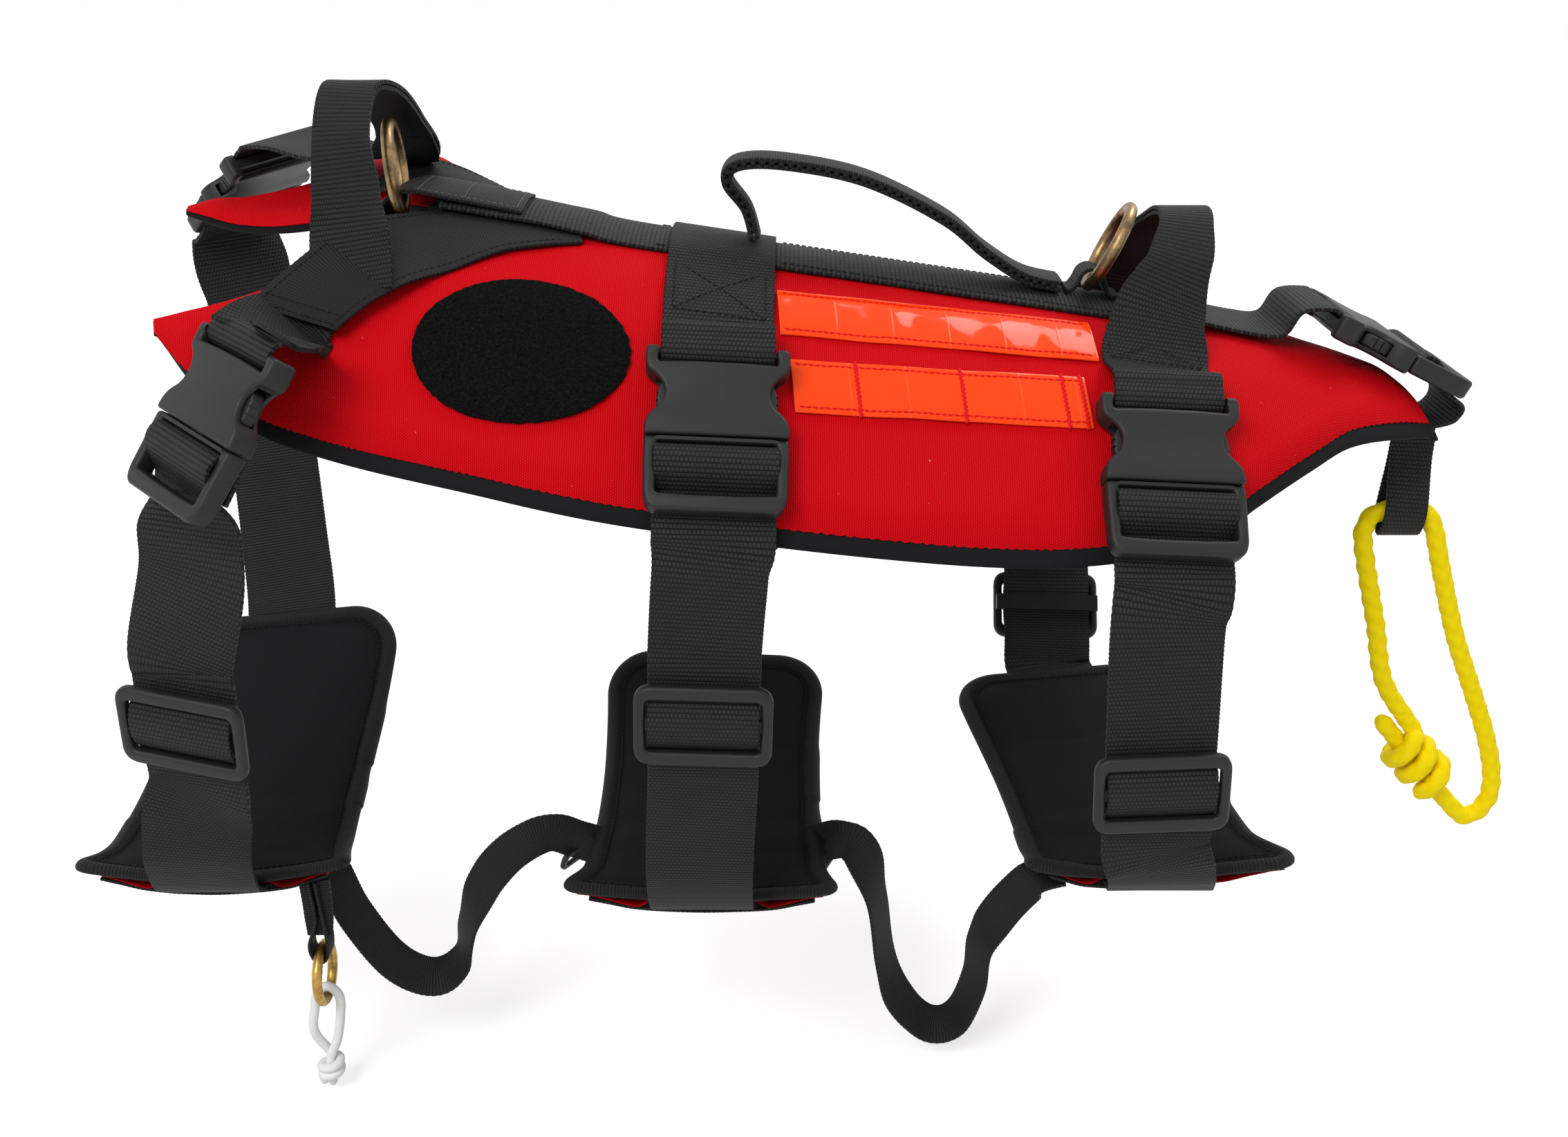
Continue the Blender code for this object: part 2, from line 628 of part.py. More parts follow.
# Rings, each threaded through a webbing tab.
TAB_WIDTH = 18
front_tab_route = [(-122, 36.4, 46), (-140, 40.0, 46), (-158, 43.2, 44), (-172, 43.8, 32), (-183, 41.8, 20)]
front_tab_route += [(-190.8, 35, TAB_WIDTH), (-189, 28.6, TAB_WIDTH), (-181, 26.2, TAB_WIDTH), (-172, 26.2, TAB_WIDTH)]
ribbon("front_ring_tab", [free_knot(x, 0, z, width, NORTH) for x, z, width in front_tab_route])
rear_tab_route = [(136.4, -5.6), (139.5, -5.9), (142.2, -2.6), (144.6, 2.2), (148.8, 4.2), (153.4, 2.2)]
rear_tab_route += [(156, -3.6), (157.7, -8), (163, -9.4)]
ribbon("rear_ring_tab", [free_knot(x, 0, z, TAB_WIDTH, NORTH) for x, z in rear_tab_route])


def ring(name, pivot, up, side, outer, wire):
    """Ring whose wire runs through the pivot; up points to its centre and side lies in its plane."""
    bpy.ops.mesh.primitive_torus_add(
        major_segments=24, minor_segments=6, major_radius=(outer - wire) / 2, minor_radius=wire / 2)
    made = bpy.context.object
    mesh = made.data.copy()
    bpy.data.objects.remove(made, do_unlink=True)
    mesh.transform(Matrix.Translation(Vector((0.0, (outer - wire) / 2, 0.0))))
    return keep(name, mesh, AGED_BRASS, frame_of(pivot, up, up.cross(side)), smooth=True)


FRONT_TURN = Vector((-0.1, 0.99, 0.0))
ring("front_ring", at(-183.5, 0, 31.4), Vector((-0.08, 0.0, 1.0)), FRONT_TURN, RING_OUTER, RING_WIRE)
REAR_TILT = Vector((0.1, 0.98, -0.05))
ring("rear_ring", at(148.4, 0, -4.6), Vector((0.45, 0.0, 0.89)), REAR_TILT, RING_OUTER, RING_WIRE)

# Loop-fastener patch and high-visibility strips on the left panel.
PATCH_TURN = math.radians(9)


def patch_place(across, along):
    u, v = 2 * across - 1, 2 * along - 1
    long_way = u * math.sqrt(1 - v * v / 2) * PATCH_LENGTH / 2
    short_way = v * math.sqrt(1 - u * u / 2) * PATCH_HEIGHT / 2
    x = long_way * math.cos(PATCH_TURN) - short_way * math.sin(PATCH_TURN)
    s = long_way * math.sin(PATCH_TURN) + short_way * math.cos(PATCH_TURN)
    return drape(x - 114 * MM, s - 95 * MM, COVER_TOP + GAP + PATCH_THICK / 2)


sheet("loop_patch", 8, 8, patch_place, PATCH_THICK, LOOP_PILE)
STRIP_MIDDLE = COVER_TOP + GAP + STRIP_THICK / 2
upper_knots = [(spot(-4, -56), STRIP_MIDDLE, STRIP_WIDTH), (spot(143, -45), STRIP_MIDDLE, STRIP_WIDTH)]
lower_knots = [(spot(2.5, -94), STRIP_MIDDLE, STRIP_WIDTH), (spot(137, -81), STRIP_MIDDLE, STRIP_WIDTH)]
laid_ribbon("upper_strip", upper_knots, STRIP_THICK, 10, 3, ORANGE_VINYL)
laid_ribbon("lower_strip", lower_knots, STRIP_THICK, 10, 3, ORANGE_VINYL)

# Girth straps: left plug, left adjuster, under the belly, right adjuster, right plug (millimetres).
# Each adjuster is (middle, direction down the strap, outer face).
GIRTHS = {
    "front": {
        "left": [(-265, -148, -100)],
        "left_slider": ((-268, -148, -174), (-4, 10, -90), (-25, -100, 0)),
        "under": [(-272, -139, -218), (-277, -130, -255), (-280, -108, -281), (-282, -60, -281),
                  (-283, -5, -270), (-284, 45, -249), (-287, 85, -218), (-296, 116, -180), (-303, 136, -132)],
        "right_slider": ((-308, 150, -80), (4, -10, -100), (0, 100, 0)),
        "right": [(-313, 151, -40)],
    },
    "mid": {
        "left": [(-32, -147, -100), (-33, -148, -126)],
        "left_slider": ((-36, -147, -171), (-3, 5, -90), (0, -100, 0)),
        "under": [(-38, -140, -215), (-40, -132, -262), (-40, -108, -291), (-40, -60, -292),
                  (-40, -5, -284), (-40, 45, -268), (-39, 82, -243), (-35, 105, -212)],
        "right_slider": ((-32, 128, -173), (-4, -22, -60), (0, 93, -36)),
        "right": [(-31, 143, -124), (-31, 147, -100)],
    },
    "rear": {
        "left": [(168, -143, -126), (170, -146, -155)],
        "left_slider": ((172, -144, -207), (4, 4, -90), (0, -100, 0)),
        "under": [(176, -136, -242), (181, -124, -268), (184, -102, -282), (180, -58, -282),
                  (172, -5, -274), (163, 45, -262), (158, 80, -250)],
        "right_slider": ((157, 115, -225), (-2, -46, -63), (0, 81, -59)),
        "right": [(160, 132, -182), (165, 142, -140), (167, 144, -122)],
    },
}
PAD_FIRST, PAD_LAST = 2, 6
PAD_BORDER = 20 * MM
PAD_DRAW = 5 * MM
CHANNELS = (0.34, 0.66)
CHANNEL_DEPTH = 0.3
CHANNEL_SPREAD = 0.06
STRAP_STEPS = 2


def add_pad(name, rows):
    """Belly pad on the inner face of its strap, crowned, with drawn-in sides and two cross channels."""
    count = len(rows) - 1
    length = sum((rows[i + 1][0] - rows[i][0]).length for i in range(count))

    def share(across, along):
        rise = ease(min(across, 1 - across) * PAD_WIDTH / PAD_BORDER)
        rise *= ease(min(along, 1 - along) * length / PAD_BORDER)
        for channel in CHANNELS:
            rise *= 1 - CHANNEL_DEPTH * math.exp(-((along - channel) / CHANNEL_SPREAD) ** 2)
        edge = PAD_EDGE / PAD_THICK
        return edge + (1 - edge) * rise

    def place(across, along):
        index = min(int(along * count), count - 1)
        part = along * count - index
        point, width, ahead = [a.lerp(b, part) for a, b in zip(rows[index], rows[index + 1])]
        reach = min(along, 1 - along) * length
        short = max(PAD_CORNER - reach, 0.0)
        inset = PAD_CORNER - math.sqrt(PAD_CORNER ** 2 - short ** 2)
        wide = PAD_WIDTH - 2 * inset - 2 * PAD_DRAW * math.sin(math.pi * along)
        inward = width.cross(ahead).normalized()
        if inward.z < 0.0:
            inward = -inward
        height = WEBBING_THICK / 2 + GAP + PAD_THICK * share(across, along) / 2
        return point + width.normalized() * (wide * (across - 0.5)) + inward * height

    sheet(name, 8, 14, place, PAD_THICK, BLACK_LINING, share)


for word, girth in GIRTHS.items():
    knots = local_knots(BUCKLES[word + "_left"], PLUG_END, EAST)
    knots += [free_knot(*point) for point in girth["left"]]
    sliders = {}
    for side in ("left", "right"):
        middle, down, face = girth[side + "_slider"]
        sliders[side] = frame_of(at(*middle), at(*down), at(*face))
        keep(word + "_" + side + "_slider", slider_mesh.copy(), GREY_PLASTIC, sliders[side])
    knots += local_knots(sliders["left"], SLIDER_PASS, EAST)
    first = (len(knots) + PAD_FIRST) * STRAP_STEPS
    last = (len(knots) + PAD_LAST) * STRAP_STEPS
    knots += [free_knot(*point) for point in girth["under"]]
    knots += list(reversed(local_knots(sliders["right"], SLIDER_PASS, EAST)))
    knots += [free_knot(*point) for point in girth["right"]]
    knots += list(reversed(local_knots(BUCKLES[word + "_right"], PLUG_END, EAST)))
    ribbon(word + "_girth_strap", knots, STRAP_STEPS)
    add_pad(word + "_pad", lay_out(knots, STRAP_STEPS)[first:last + 1])

# Belly link straps, belly ring and its cord loop.
LINK_TURN = Vector((0.45, 0.9, 0.0))
LINK = LINK_WIDTH / MM
front_link = [(-243, -78, -282.8), (-231, -79, -287), (-220, -82, -312), (-202, -82, -341), (-184, -79, -354)]
front_link += [(-168, -75, -345), (-162, -73, -319), (-148, -70, -290), (-132, -66, -274), (-116, -63, -271)]
front_link += [(-107, -62, -284)]
rear_link = [(27, -62, -285), (39, -64, -280), (49, -66, -329), (62, -69, -372), (77, -72, -391), (92, -76, -384)]
rear_link += [(99, -78, -354), (103, -79, -325), (115, -82, -300), (125, -85, -287), (137, -86, -283)]
ribbon("front_link_strap", [free_knot(*p, LINK, LINK_TURN) for p in front_link], 3, LINK_THICK)
ribbon("rear_link_strap", [free_knot(*p, LINK, LINK_TURN) for p in rear_link], 3, LINK_THICK)

BELLY_TAB_WIDTH = 11
belly_tab = [(-232, -98, -281.8), (-229, -102, -300), (-227, -105, -312), (-227.9, -105, -319.8), (-231.5, -105, -323)]
belly_tab += [(-235.1, -105, -319.8), (-236, -105, -312), (-232.6, -102, -300), (-235.4, -98, -281.8)]
ribbon("belly_ring_tab", [free_knot(*p, BELLY_TAB_WIDTH, NORTH) for p in belly_tab], 3, LINK_THICK)
BELLY_PIVOT = at(-231.5, -105, -317)
ring("belly_ring", BELLY_PIVOT, Vector((0.0, 0.0, -1.0)), NORTH, BELLY_RING_OUTER, BELLY_RING_WIRE)


def winding(low, high, radius, turns, count):
    """Points of a strand wound around the line from low to high."""
    axis = (high - low).normalized()
    side = axis.cross(NORTH).normalized()
    other = axis.cross(side)
    points = []
    for index in range(count + 1):
        angle = math.tau * turns * index / count
        around = side * math.cos(angle) + other * math.sin(angle)
        points.append(low.lerp(high, index / count) + around * radius)
    return points


def cord(name, knots, steps, diameter, paint):
    """Round cord along the smooth route through the knots."""
    drawing = bpy.data.curves.new(name, "CURVE")
    drawing.dimensions = "3D"
    drawing.bevel_depth = diameter / 2
    drawing.bevel_resolution = 2
    drawing.use_fill_caps = True
    line = drawing.splines.new("POLY")
    points = smooth_route(knots, steps)
    line.points.add(len(points) - 1)
    for point, place in zip(line.points, points):
        point.co = (*place, 1.0)
    drawing.materials.append(paint)
    made = bpy.data.objects.new(name, drawing)
    parts.objects.link(made)
    return made


cord_low, cord_high = at(-234, -105, -401), at(-234, -105, -385)
cord_knots = winding(cord_low + at(0, 0, 3), cord_high, CORD_DIAMETER + 2 * GAP, 1.25, 8)
cord_knots += [at(-240.5, -105, -368), at(-238.5, -105, -352), at(-237.2, -105, -345.5), at(-231.5, -105, -340)]
cord_knots += [at(-225.8, -105, -345.5), at(-226, -105, -356), at(-229, -105, -372), cord_high, cord_low]
cord("belly_cord", cord_knots, 2, CORD_DIAMETER, WHITE_CORD)

# Tail strap, tail end strap, pull tab and pull rope.
tail_knots = [laid_knot(199, 0, LAID, hint=NORTH), laid_knot(222, 0, LAID, hint=NORTH)]
tail_knots += [free_knot(240, 0, -24, hint=NORTH), free_knot(248, 0, -13, hint=NORTH)]
tail_knots += local_knots(BUCKLES["tail"], SOCKET_END[1:], NORTH)
ribbon("tail_strap", tail_knots)
end_knots = local_knots(BUCKLES["tail"], PLUG_END[:-1], NORTH)
end_knots += [free_knot(331, 0, -62, 44, NORTH), free_knot(328, 0, -70, 40, NORTH)]
end_knots += [free_knot(317, 0, -72, 36, NORTH), free_knot(306, 0, -67.5, 32, NORTH), free_knot(296, 0, -62.6, 30, NORTH)]
ribbon("tail_end_strap", end_knots)

PULL = PULL_TAB_WIDTH / MM
pull_route = [(317, -4.5, -73.5), (316, -4.5, -95), (314, -5.3, -114), (313.5, -5.8, -123.5), (313.5, -11, -130.5)]
pull_route += [(313.5, -16.2, -123.5), (314, -16.7, -114), (316, -8.4, -93), (316.7, -7.2, -79)]
pull_tab = ribbon("pull_tab", [free_knot(x, y, z, PULL) for x, y, z in pull_route])
set_origin(pull_tab, at(317, -4.5, -73))

rope_low, rope_high = at(364, -11, -287), at(318, -11, -236)
turns_low, turns_high = rope_low.lerp(rope_high, 0.3), rope_low.lerp(rope_high, 0.72)
rope_knots = winding(turns_low, turns_high, ROPE_DIAMETER + 2 * GAP, 1.5, 10)
rope_knots += [at(318, -11, -215), at(309, -11, -181), at(299, -11, -145), at(296, -11, -130), at(299.5, -11, -121)]
rope_knots += [at(307, -11, -118), at(314, -11, -117.8), at(321, -11, -118.6), at(330, -11, -123.5)]
rope_knots += [at(340, -11, -154), at(352, -11, -189), at(366, -11, -221)]
rope_knots += [at(378, -11, -250), at(384, -11, -280), at(378, -11, -296), rope_low, rope_high]
pull_rope = cord("pull_rope", rope_knots, 2, ROPE_DIAMETER, YELLOW_ROPE)
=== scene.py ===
# %% [markdown]
# A lifting harness for a dog, dressed piece by piece over its rigid frame.
# The frame gives every body and joint its place in metres, with the dog's head at -X and its left side at -Y.
# Each cell below makes one kind of piece and says which body carries it.

# %% Load the frame
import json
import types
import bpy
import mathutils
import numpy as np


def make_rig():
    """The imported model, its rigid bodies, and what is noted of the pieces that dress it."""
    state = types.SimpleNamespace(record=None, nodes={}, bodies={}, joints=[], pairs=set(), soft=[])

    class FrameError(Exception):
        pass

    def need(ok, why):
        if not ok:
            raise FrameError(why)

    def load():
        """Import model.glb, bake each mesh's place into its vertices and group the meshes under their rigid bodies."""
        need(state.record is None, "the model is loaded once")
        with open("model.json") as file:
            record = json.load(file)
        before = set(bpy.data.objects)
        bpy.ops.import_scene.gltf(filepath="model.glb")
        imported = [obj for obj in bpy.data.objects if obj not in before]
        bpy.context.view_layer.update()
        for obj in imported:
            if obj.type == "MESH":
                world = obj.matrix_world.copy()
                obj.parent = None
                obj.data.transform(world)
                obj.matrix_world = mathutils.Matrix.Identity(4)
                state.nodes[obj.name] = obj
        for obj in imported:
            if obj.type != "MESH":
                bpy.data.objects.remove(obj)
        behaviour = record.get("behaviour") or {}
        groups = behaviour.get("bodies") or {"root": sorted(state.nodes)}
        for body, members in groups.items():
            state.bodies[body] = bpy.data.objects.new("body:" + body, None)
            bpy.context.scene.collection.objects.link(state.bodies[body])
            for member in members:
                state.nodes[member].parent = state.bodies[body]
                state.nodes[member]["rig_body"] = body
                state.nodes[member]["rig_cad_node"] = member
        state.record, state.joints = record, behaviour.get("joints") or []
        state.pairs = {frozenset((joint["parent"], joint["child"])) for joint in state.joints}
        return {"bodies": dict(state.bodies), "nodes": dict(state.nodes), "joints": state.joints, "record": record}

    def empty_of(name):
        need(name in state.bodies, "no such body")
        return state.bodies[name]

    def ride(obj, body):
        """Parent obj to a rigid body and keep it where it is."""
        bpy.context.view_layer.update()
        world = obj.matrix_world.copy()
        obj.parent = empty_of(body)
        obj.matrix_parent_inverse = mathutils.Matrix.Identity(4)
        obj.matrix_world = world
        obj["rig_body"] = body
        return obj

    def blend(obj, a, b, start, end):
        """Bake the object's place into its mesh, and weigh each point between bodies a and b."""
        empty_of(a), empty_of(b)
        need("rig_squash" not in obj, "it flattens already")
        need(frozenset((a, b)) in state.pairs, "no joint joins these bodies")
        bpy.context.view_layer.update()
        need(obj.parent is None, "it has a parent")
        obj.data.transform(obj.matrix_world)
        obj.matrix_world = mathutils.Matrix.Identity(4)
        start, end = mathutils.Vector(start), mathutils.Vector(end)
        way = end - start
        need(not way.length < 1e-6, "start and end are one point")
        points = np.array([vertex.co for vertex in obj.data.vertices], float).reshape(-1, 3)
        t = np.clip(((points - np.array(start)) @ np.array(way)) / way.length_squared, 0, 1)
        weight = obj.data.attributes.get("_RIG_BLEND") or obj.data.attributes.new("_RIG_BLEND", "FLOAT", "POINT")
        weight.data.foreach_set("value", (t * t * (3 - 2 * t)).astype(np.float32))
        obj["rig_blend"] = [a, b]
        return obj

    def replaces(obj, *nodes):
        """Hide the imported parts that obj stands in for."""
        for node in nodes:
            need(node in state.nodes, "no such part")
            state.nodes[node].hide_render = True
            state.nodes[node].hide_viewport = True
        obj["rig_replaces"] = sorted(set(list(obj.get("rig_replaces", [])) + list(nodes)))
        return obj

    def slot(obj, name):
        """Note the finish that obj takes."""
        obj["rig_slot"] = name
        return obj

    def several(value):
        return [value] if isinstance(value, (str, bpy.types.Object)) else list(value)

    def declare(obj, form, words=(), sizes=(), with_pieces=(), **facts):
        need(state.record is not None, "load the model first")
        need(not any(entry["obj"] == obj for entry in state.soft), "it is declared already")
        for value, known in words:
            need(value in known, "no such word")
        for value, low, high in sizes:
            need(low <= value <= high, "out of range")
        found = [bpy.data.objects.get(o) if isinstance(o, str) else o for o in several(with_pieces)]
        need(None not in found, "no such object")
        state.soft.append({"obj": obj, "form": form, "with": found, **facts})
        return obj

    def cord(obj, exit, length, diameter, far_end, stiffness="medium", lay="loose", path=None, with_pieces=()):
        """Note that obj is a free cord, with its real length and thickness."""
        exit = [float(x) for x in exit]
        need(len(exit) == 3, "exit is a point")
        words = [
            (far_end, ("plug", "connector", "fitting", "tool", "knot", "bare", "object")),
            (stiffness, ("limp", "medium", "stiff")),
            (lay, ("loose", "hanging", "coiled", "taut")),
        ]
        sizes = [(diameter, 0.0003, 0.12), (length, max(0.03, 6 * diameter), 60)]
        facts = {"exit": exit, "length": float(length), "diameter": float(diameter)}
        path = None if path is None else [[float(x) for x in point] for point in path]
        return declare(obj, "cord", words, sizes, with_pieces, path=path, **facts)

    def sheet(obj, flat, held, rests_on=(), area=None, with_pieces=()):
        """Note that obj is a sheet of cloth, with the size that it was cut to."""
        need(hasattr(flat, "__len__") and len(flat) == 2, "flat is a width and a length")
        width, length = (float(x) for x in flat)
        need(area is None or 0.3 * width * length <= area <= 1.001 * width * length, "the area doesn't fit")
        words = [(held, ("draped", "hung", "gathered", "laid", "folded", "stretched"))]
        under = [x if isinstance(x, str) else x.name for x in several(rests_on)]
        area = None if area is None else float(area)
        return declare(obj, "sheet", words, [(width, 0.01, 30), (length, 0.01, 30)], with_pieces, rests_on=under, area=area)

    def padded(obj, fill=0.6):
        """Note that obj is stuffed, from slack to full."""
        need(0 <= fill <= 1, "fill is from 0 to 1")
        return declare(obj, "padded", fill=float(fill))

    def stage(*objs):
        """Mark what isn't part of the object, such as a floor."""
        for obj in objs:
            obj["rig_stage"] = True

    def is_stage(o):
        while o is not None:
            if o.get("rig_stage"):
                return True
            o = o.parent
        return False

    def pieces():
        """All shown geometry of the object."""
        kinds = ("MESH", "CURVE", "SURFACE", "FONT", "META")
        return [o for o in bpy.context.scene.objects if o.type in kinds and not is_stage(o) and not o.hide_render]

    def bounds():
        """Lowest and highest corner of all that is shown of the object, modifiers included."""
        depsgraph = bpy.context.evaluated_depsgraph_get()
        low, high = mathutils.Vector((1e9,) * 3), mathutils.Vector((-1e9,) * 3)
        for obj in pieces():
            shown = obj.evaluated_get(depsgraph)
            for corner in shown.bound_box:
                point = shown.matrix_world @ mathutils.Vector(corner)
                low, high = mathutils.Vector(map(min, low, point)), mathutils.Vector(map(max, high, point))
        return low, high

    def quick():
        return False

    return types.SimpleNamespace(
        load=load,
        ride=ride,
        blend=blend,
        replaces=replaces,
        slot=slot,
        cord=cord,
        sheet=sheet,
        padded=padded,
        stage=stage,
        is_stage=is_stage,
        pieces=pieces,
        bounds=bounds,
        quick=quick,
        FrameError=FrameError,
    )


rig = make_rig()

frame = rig.load()

import json
import math

import bpy
import numpy as np
from mathutils import Matrix, Vector, noise

MM = 0.001
cad_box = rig.bounds()
print("solid box", [[round(value, 4) for value in corner] for corner in cad_box])

# %% [markdown]
# The picture was taken from the dog's left, a little above the back, with a normal lens.
# The camera's place comes from sizes that are known: the webbing is 50 mm wide wherever it is seen.
# Near straps look larger than far ones, and that difference gives the distance.
# The lens follows from the picture: its width and its distance from the eye are counted in the same dots.

# %% Camera
CAMERA_PLACE, CAMERA_TILT, SENSOR = (0.0, -0.816, 0.175), math.radians(68), 36.0
PICTURE_WIDTH, PICTURE_DISTANCE = 2268, 2435
bpy.ops.object.camera_add(location=CAMERA_PLACE, rotation=(CAMERA_TILT, 0.0, 0.0))
camera = bpy.context.object
camera.data.sensor_width = SENSOR
camera.data.lens = SENSOR * PICTURE_DISTANCE / PICTURE_WIDTH
bpy.context.scene.camera = camera
bpy.context.scene.view_settings.view_transform = "Standard"
print("lens", round(camera.data.lens, 2), "mm")

# %% [markdown]
# A pale floor and a white surround stand in for the studio.
# Most of the light is even and comes from all round, so that colours show about as they are written.
# One large lamp over the dog's left shoulder and a smaller one behind give the folds their shape.
# The surround is white to the eye and to reflections, but lights the cloth less than the lamps do.

# %% Floor, lamps and surround
FLOOR_GAP, FLOOR_SIDE = 4 * MM, 26.0


def add_node(nodes, kind, operation=None, **values):
    """New shader node with some of its inputs set."""
    made = nodes.new(kind)
    if operation is not None:
        made.operation = operation
    for socket, value in values.items():
        made.inputs[socket.replace("_", " ")].default_value = value
    return made


floor_level = cad_box[0][2] - FLOOR_GAP
bpy.ops.mesh.primitive_plane_add(size=FLOOR_SIDE, location=(0.0, 0.0, floor_level))
floor = bpy.context.object
floor.name = "studio_floor"
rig.stage(floor)
pale = bpy.data.materials.new("pale_floor")
pale.use_nodes = True
pale_nodes = pale.node_tree.nodes
pale_nodes.clear()
surface = add_node(pale_nodes, "ShaderNodeOutputMaterial")
matt = add_node(pale_nodes, "ShaderNodeBsdfDiffuse", Color=(0.62, 0.62, 0.62, 1.0))
glow = add_node(pale_nodes, "ShaderNodeEmission", Strength=0.62)
nothing = add_node(pale_nodes, "ShaderNodeBsdfDiffuse", Color=(0.0, 0.0, 0.0, 1.0))
seen = add_node(pale_nodes, "ShaderNodeLightPath")
either = add_node(pale_nodes, "ShaderNodeMath", "MAXIMUM")
choose = add_node(pale_nodes, "ShaderNodeMixShader")
both = add_node(pale_nodes, "ShaderNodeAddShader")
wire = pale.node_tree.links.new
wire(seen.outputs["Is Camera Ray"], either.inputs[0])
wire(seen.outputs["Is Glossy Ray"], either.inputs[1])
wire(either.outputs[0], choose.inputs["Fac"])
wire(nothing.outputs[0], choose.inputs[1])
wire(glow.outputs[0], choose.inputs[2])
wire(matt.outputs[0], both.inputs[0])
wire(choose.outputs[0], both.inputs[1])
wire(both.outputs[0], surface.inputs["Surface"])
floor.data.materials.append(pale)

world = bpy.data.worlds.new("studio_surround")
bpy.context.scene.world = world
world.use_nodes = True
sky = world.node_tree.nodes
sky.clear()
out = add_node(sky, "ShaderNodeOutputWorld")
backdrop = add_node(sky, "ShaderNodeBackground", Color=(1.0, 1.0, 1.0, 1.0))
seen_sky = add_node(sky, "ShaderNodeLightPath")
level = add_node(sky, "ShaderNodeMapRange", To_Min=0.6, To_Max=1.0)
most = add_node(sky, "ShaderNodeMath", "MAXIMUM")
more = add_node(sky, "ShaderNodeMath", "MAXIMUM")
join = world.node_tree.links.new
join(seen_sky.outputs["Is Camera Ray"], most.inputs[0])
join(seen_sky.outputs["Is Glossy Ray"], most.inputs[1])
join(most.outputs[0], more.inputs[0])
join(seen_sky.outputs["Is Transmission Ray"], more.inputs[1])
join(more.outputs[0], level.inputs["Value"])
join(level.outputs[0], backdrop.inputs["Strength"])
join(backdrop.outputs[0], out.inputs["Surface"])

LIT_PLACE = Vector((0.0, 0.0, -0.12))
LAMPS = (("shoulder", (-0.9, -1.7, 1.5), 30.0, 1.1), ("back", (1.1, 0.9, 1.7), 17.0, 0.9))
for word, place, power, size in LAMPS:
    bpy.ops.object.light_add(type="AREA", location=place)
    lamp = bpy.context.object
    lamp.name = word + "_lamp"
    lamp.data.size = size
    lamp.data.energy = power
    lamp.rotation_euler = (LIT_PLACE - lamp.location).to_track_quat("-Z", "Y").to_euler()
print("lamps and floor set, floor at", round(floor_level, 3))

# %% [markdown]
# The panels are a flat pattern rolled over the dog's back: x runs to the tail and s runs down each side.
# The same roll carries everything that is sewn on, so a place is given on the pattern and then laid out.
# The collar leans to the left and its right horn flares up, as the harness lies in the picture.

# %% The lie of the back
BACK_RADIUS, BACK_REACH, FLANK_RADIUS = 107 * MM, 75 * MM, 326 * MM
SPINE_SLOPE, TAIL_START, TAIL_CURVE = 0.15, 180 * MM, 1.0
COLLAR_START, COLLAR_LENGTH, COLLAR_ROLL = -100 * MM, 190 * MM, 15 * MM
COLLAR_YAW, COLLAR_NARROWING = 0.17, 0.1
FLARE_START, FLARE_LENGTH, FLARE_EASE = -105 * MM, 95 * MM, 45 * MM
FLARE_RISE, FLARE_BEND = 0.25, 75 * MM
FLARE_LEVEL = [(-312, 1), (-280, -5), (-240, 0), (-190, 18), (-150, 24), (-120, 24)]
FLARE_CREST = [(-312, 120), (-280, 112), (-240, 95), (-190, 66), (-150, 50), (-120, 45)]


def at(x, y, z):
    return Vector((x, y, z)) * MM


def ease(value):
    value = min(max(value, 0.0), 1.0)
    return value * value * (3.0 - 2.0 * value)


def between(points, x):
    """Value at x of the smooth line through a few (x, value) points."""
    last = len(points) - 1
    index = 0
    while index < last - 1 and x > points[index + 1][0]:
        index += 1
    slopes = []
    for place in (index, index + 1):
        before = points[max(place - 1, 0)]
        after = points[min(place + 1, last)]
        slopes.append((after[1] - before[1]) / (after[0] - before[0]))
    start, end = points[index], points[index + 1]
    span = end[0] - start[0]
    t = min(max((x - start[0]) / span, 0.0), 1.0)
    bend_in = t * (1.0 - t) ** 2 * span * slopes[0]
    bend_out = t * t * (t - 1.0) * span * slopes[1]
    return start[1] + (end[1] - start[1]) * ease(t) + bend_in + bend_out


def skin(x, s):
    """World point of pattern place (x, s) on the face that touches the dog."""
    share = ease((COLLAR_START - x) / COLLAR_LENGTH)
    x = x - COLLAR_YAW * share * s
    s = s - COLLAR_ROLL * share
    side = -1.0 if s < 0.0 else 1.0
    near = min(abs(s), BACK_REACH)
    turn = near / BACK_RADIUS
    lean = turn + (abs(s) - near) / FLANK_RADIUS
    wide = BACK_RADIUS * math.sin(turn) + FLANK_RADIUS * (math.sin(lean) - math.sin(turn))
    down = BACK_RADIUS * (1.0 - math.cos(turn)) + FLANK_RADIUS * (math.cos(turn) - math.cos(lean))
    y = side * wide * (1.0 - COLLAR_NARROWING * share)
    drop = max(x - TAIL_START, 0.0)
    z = -SPINE_SLOPE * x - TAIL_CURVE * drop * drop - down
    if s > 0.0:
        past = max(y - between(FLARE_CREST, x / MM) * MM, 0.0)
        lifted = between(FLARE_LEVEL, x / MM) * MM + FLARE_RISE * y - past * past / (2.0 * FLARE_BEND)
        z += (lifted - z) * ease((FLARE_START - x) / FLARE_LENGTH) * ease(s / FLARE_EASE)
    return Vector((x, y, z))


def drape(x, s, h):
    """World point of pattern place (x, s), h above the face that touches the dog."""
    back = skin(x + MM, s) - skin(x - MM, s)
    right = skin(x, s + MM) - skin(x, s - MM)
    return skin(x, s) + back.cross(right).normalized() * h


print("ridge at the withers", [round(value, 4) for value in skin(-0.1, 0.0)])

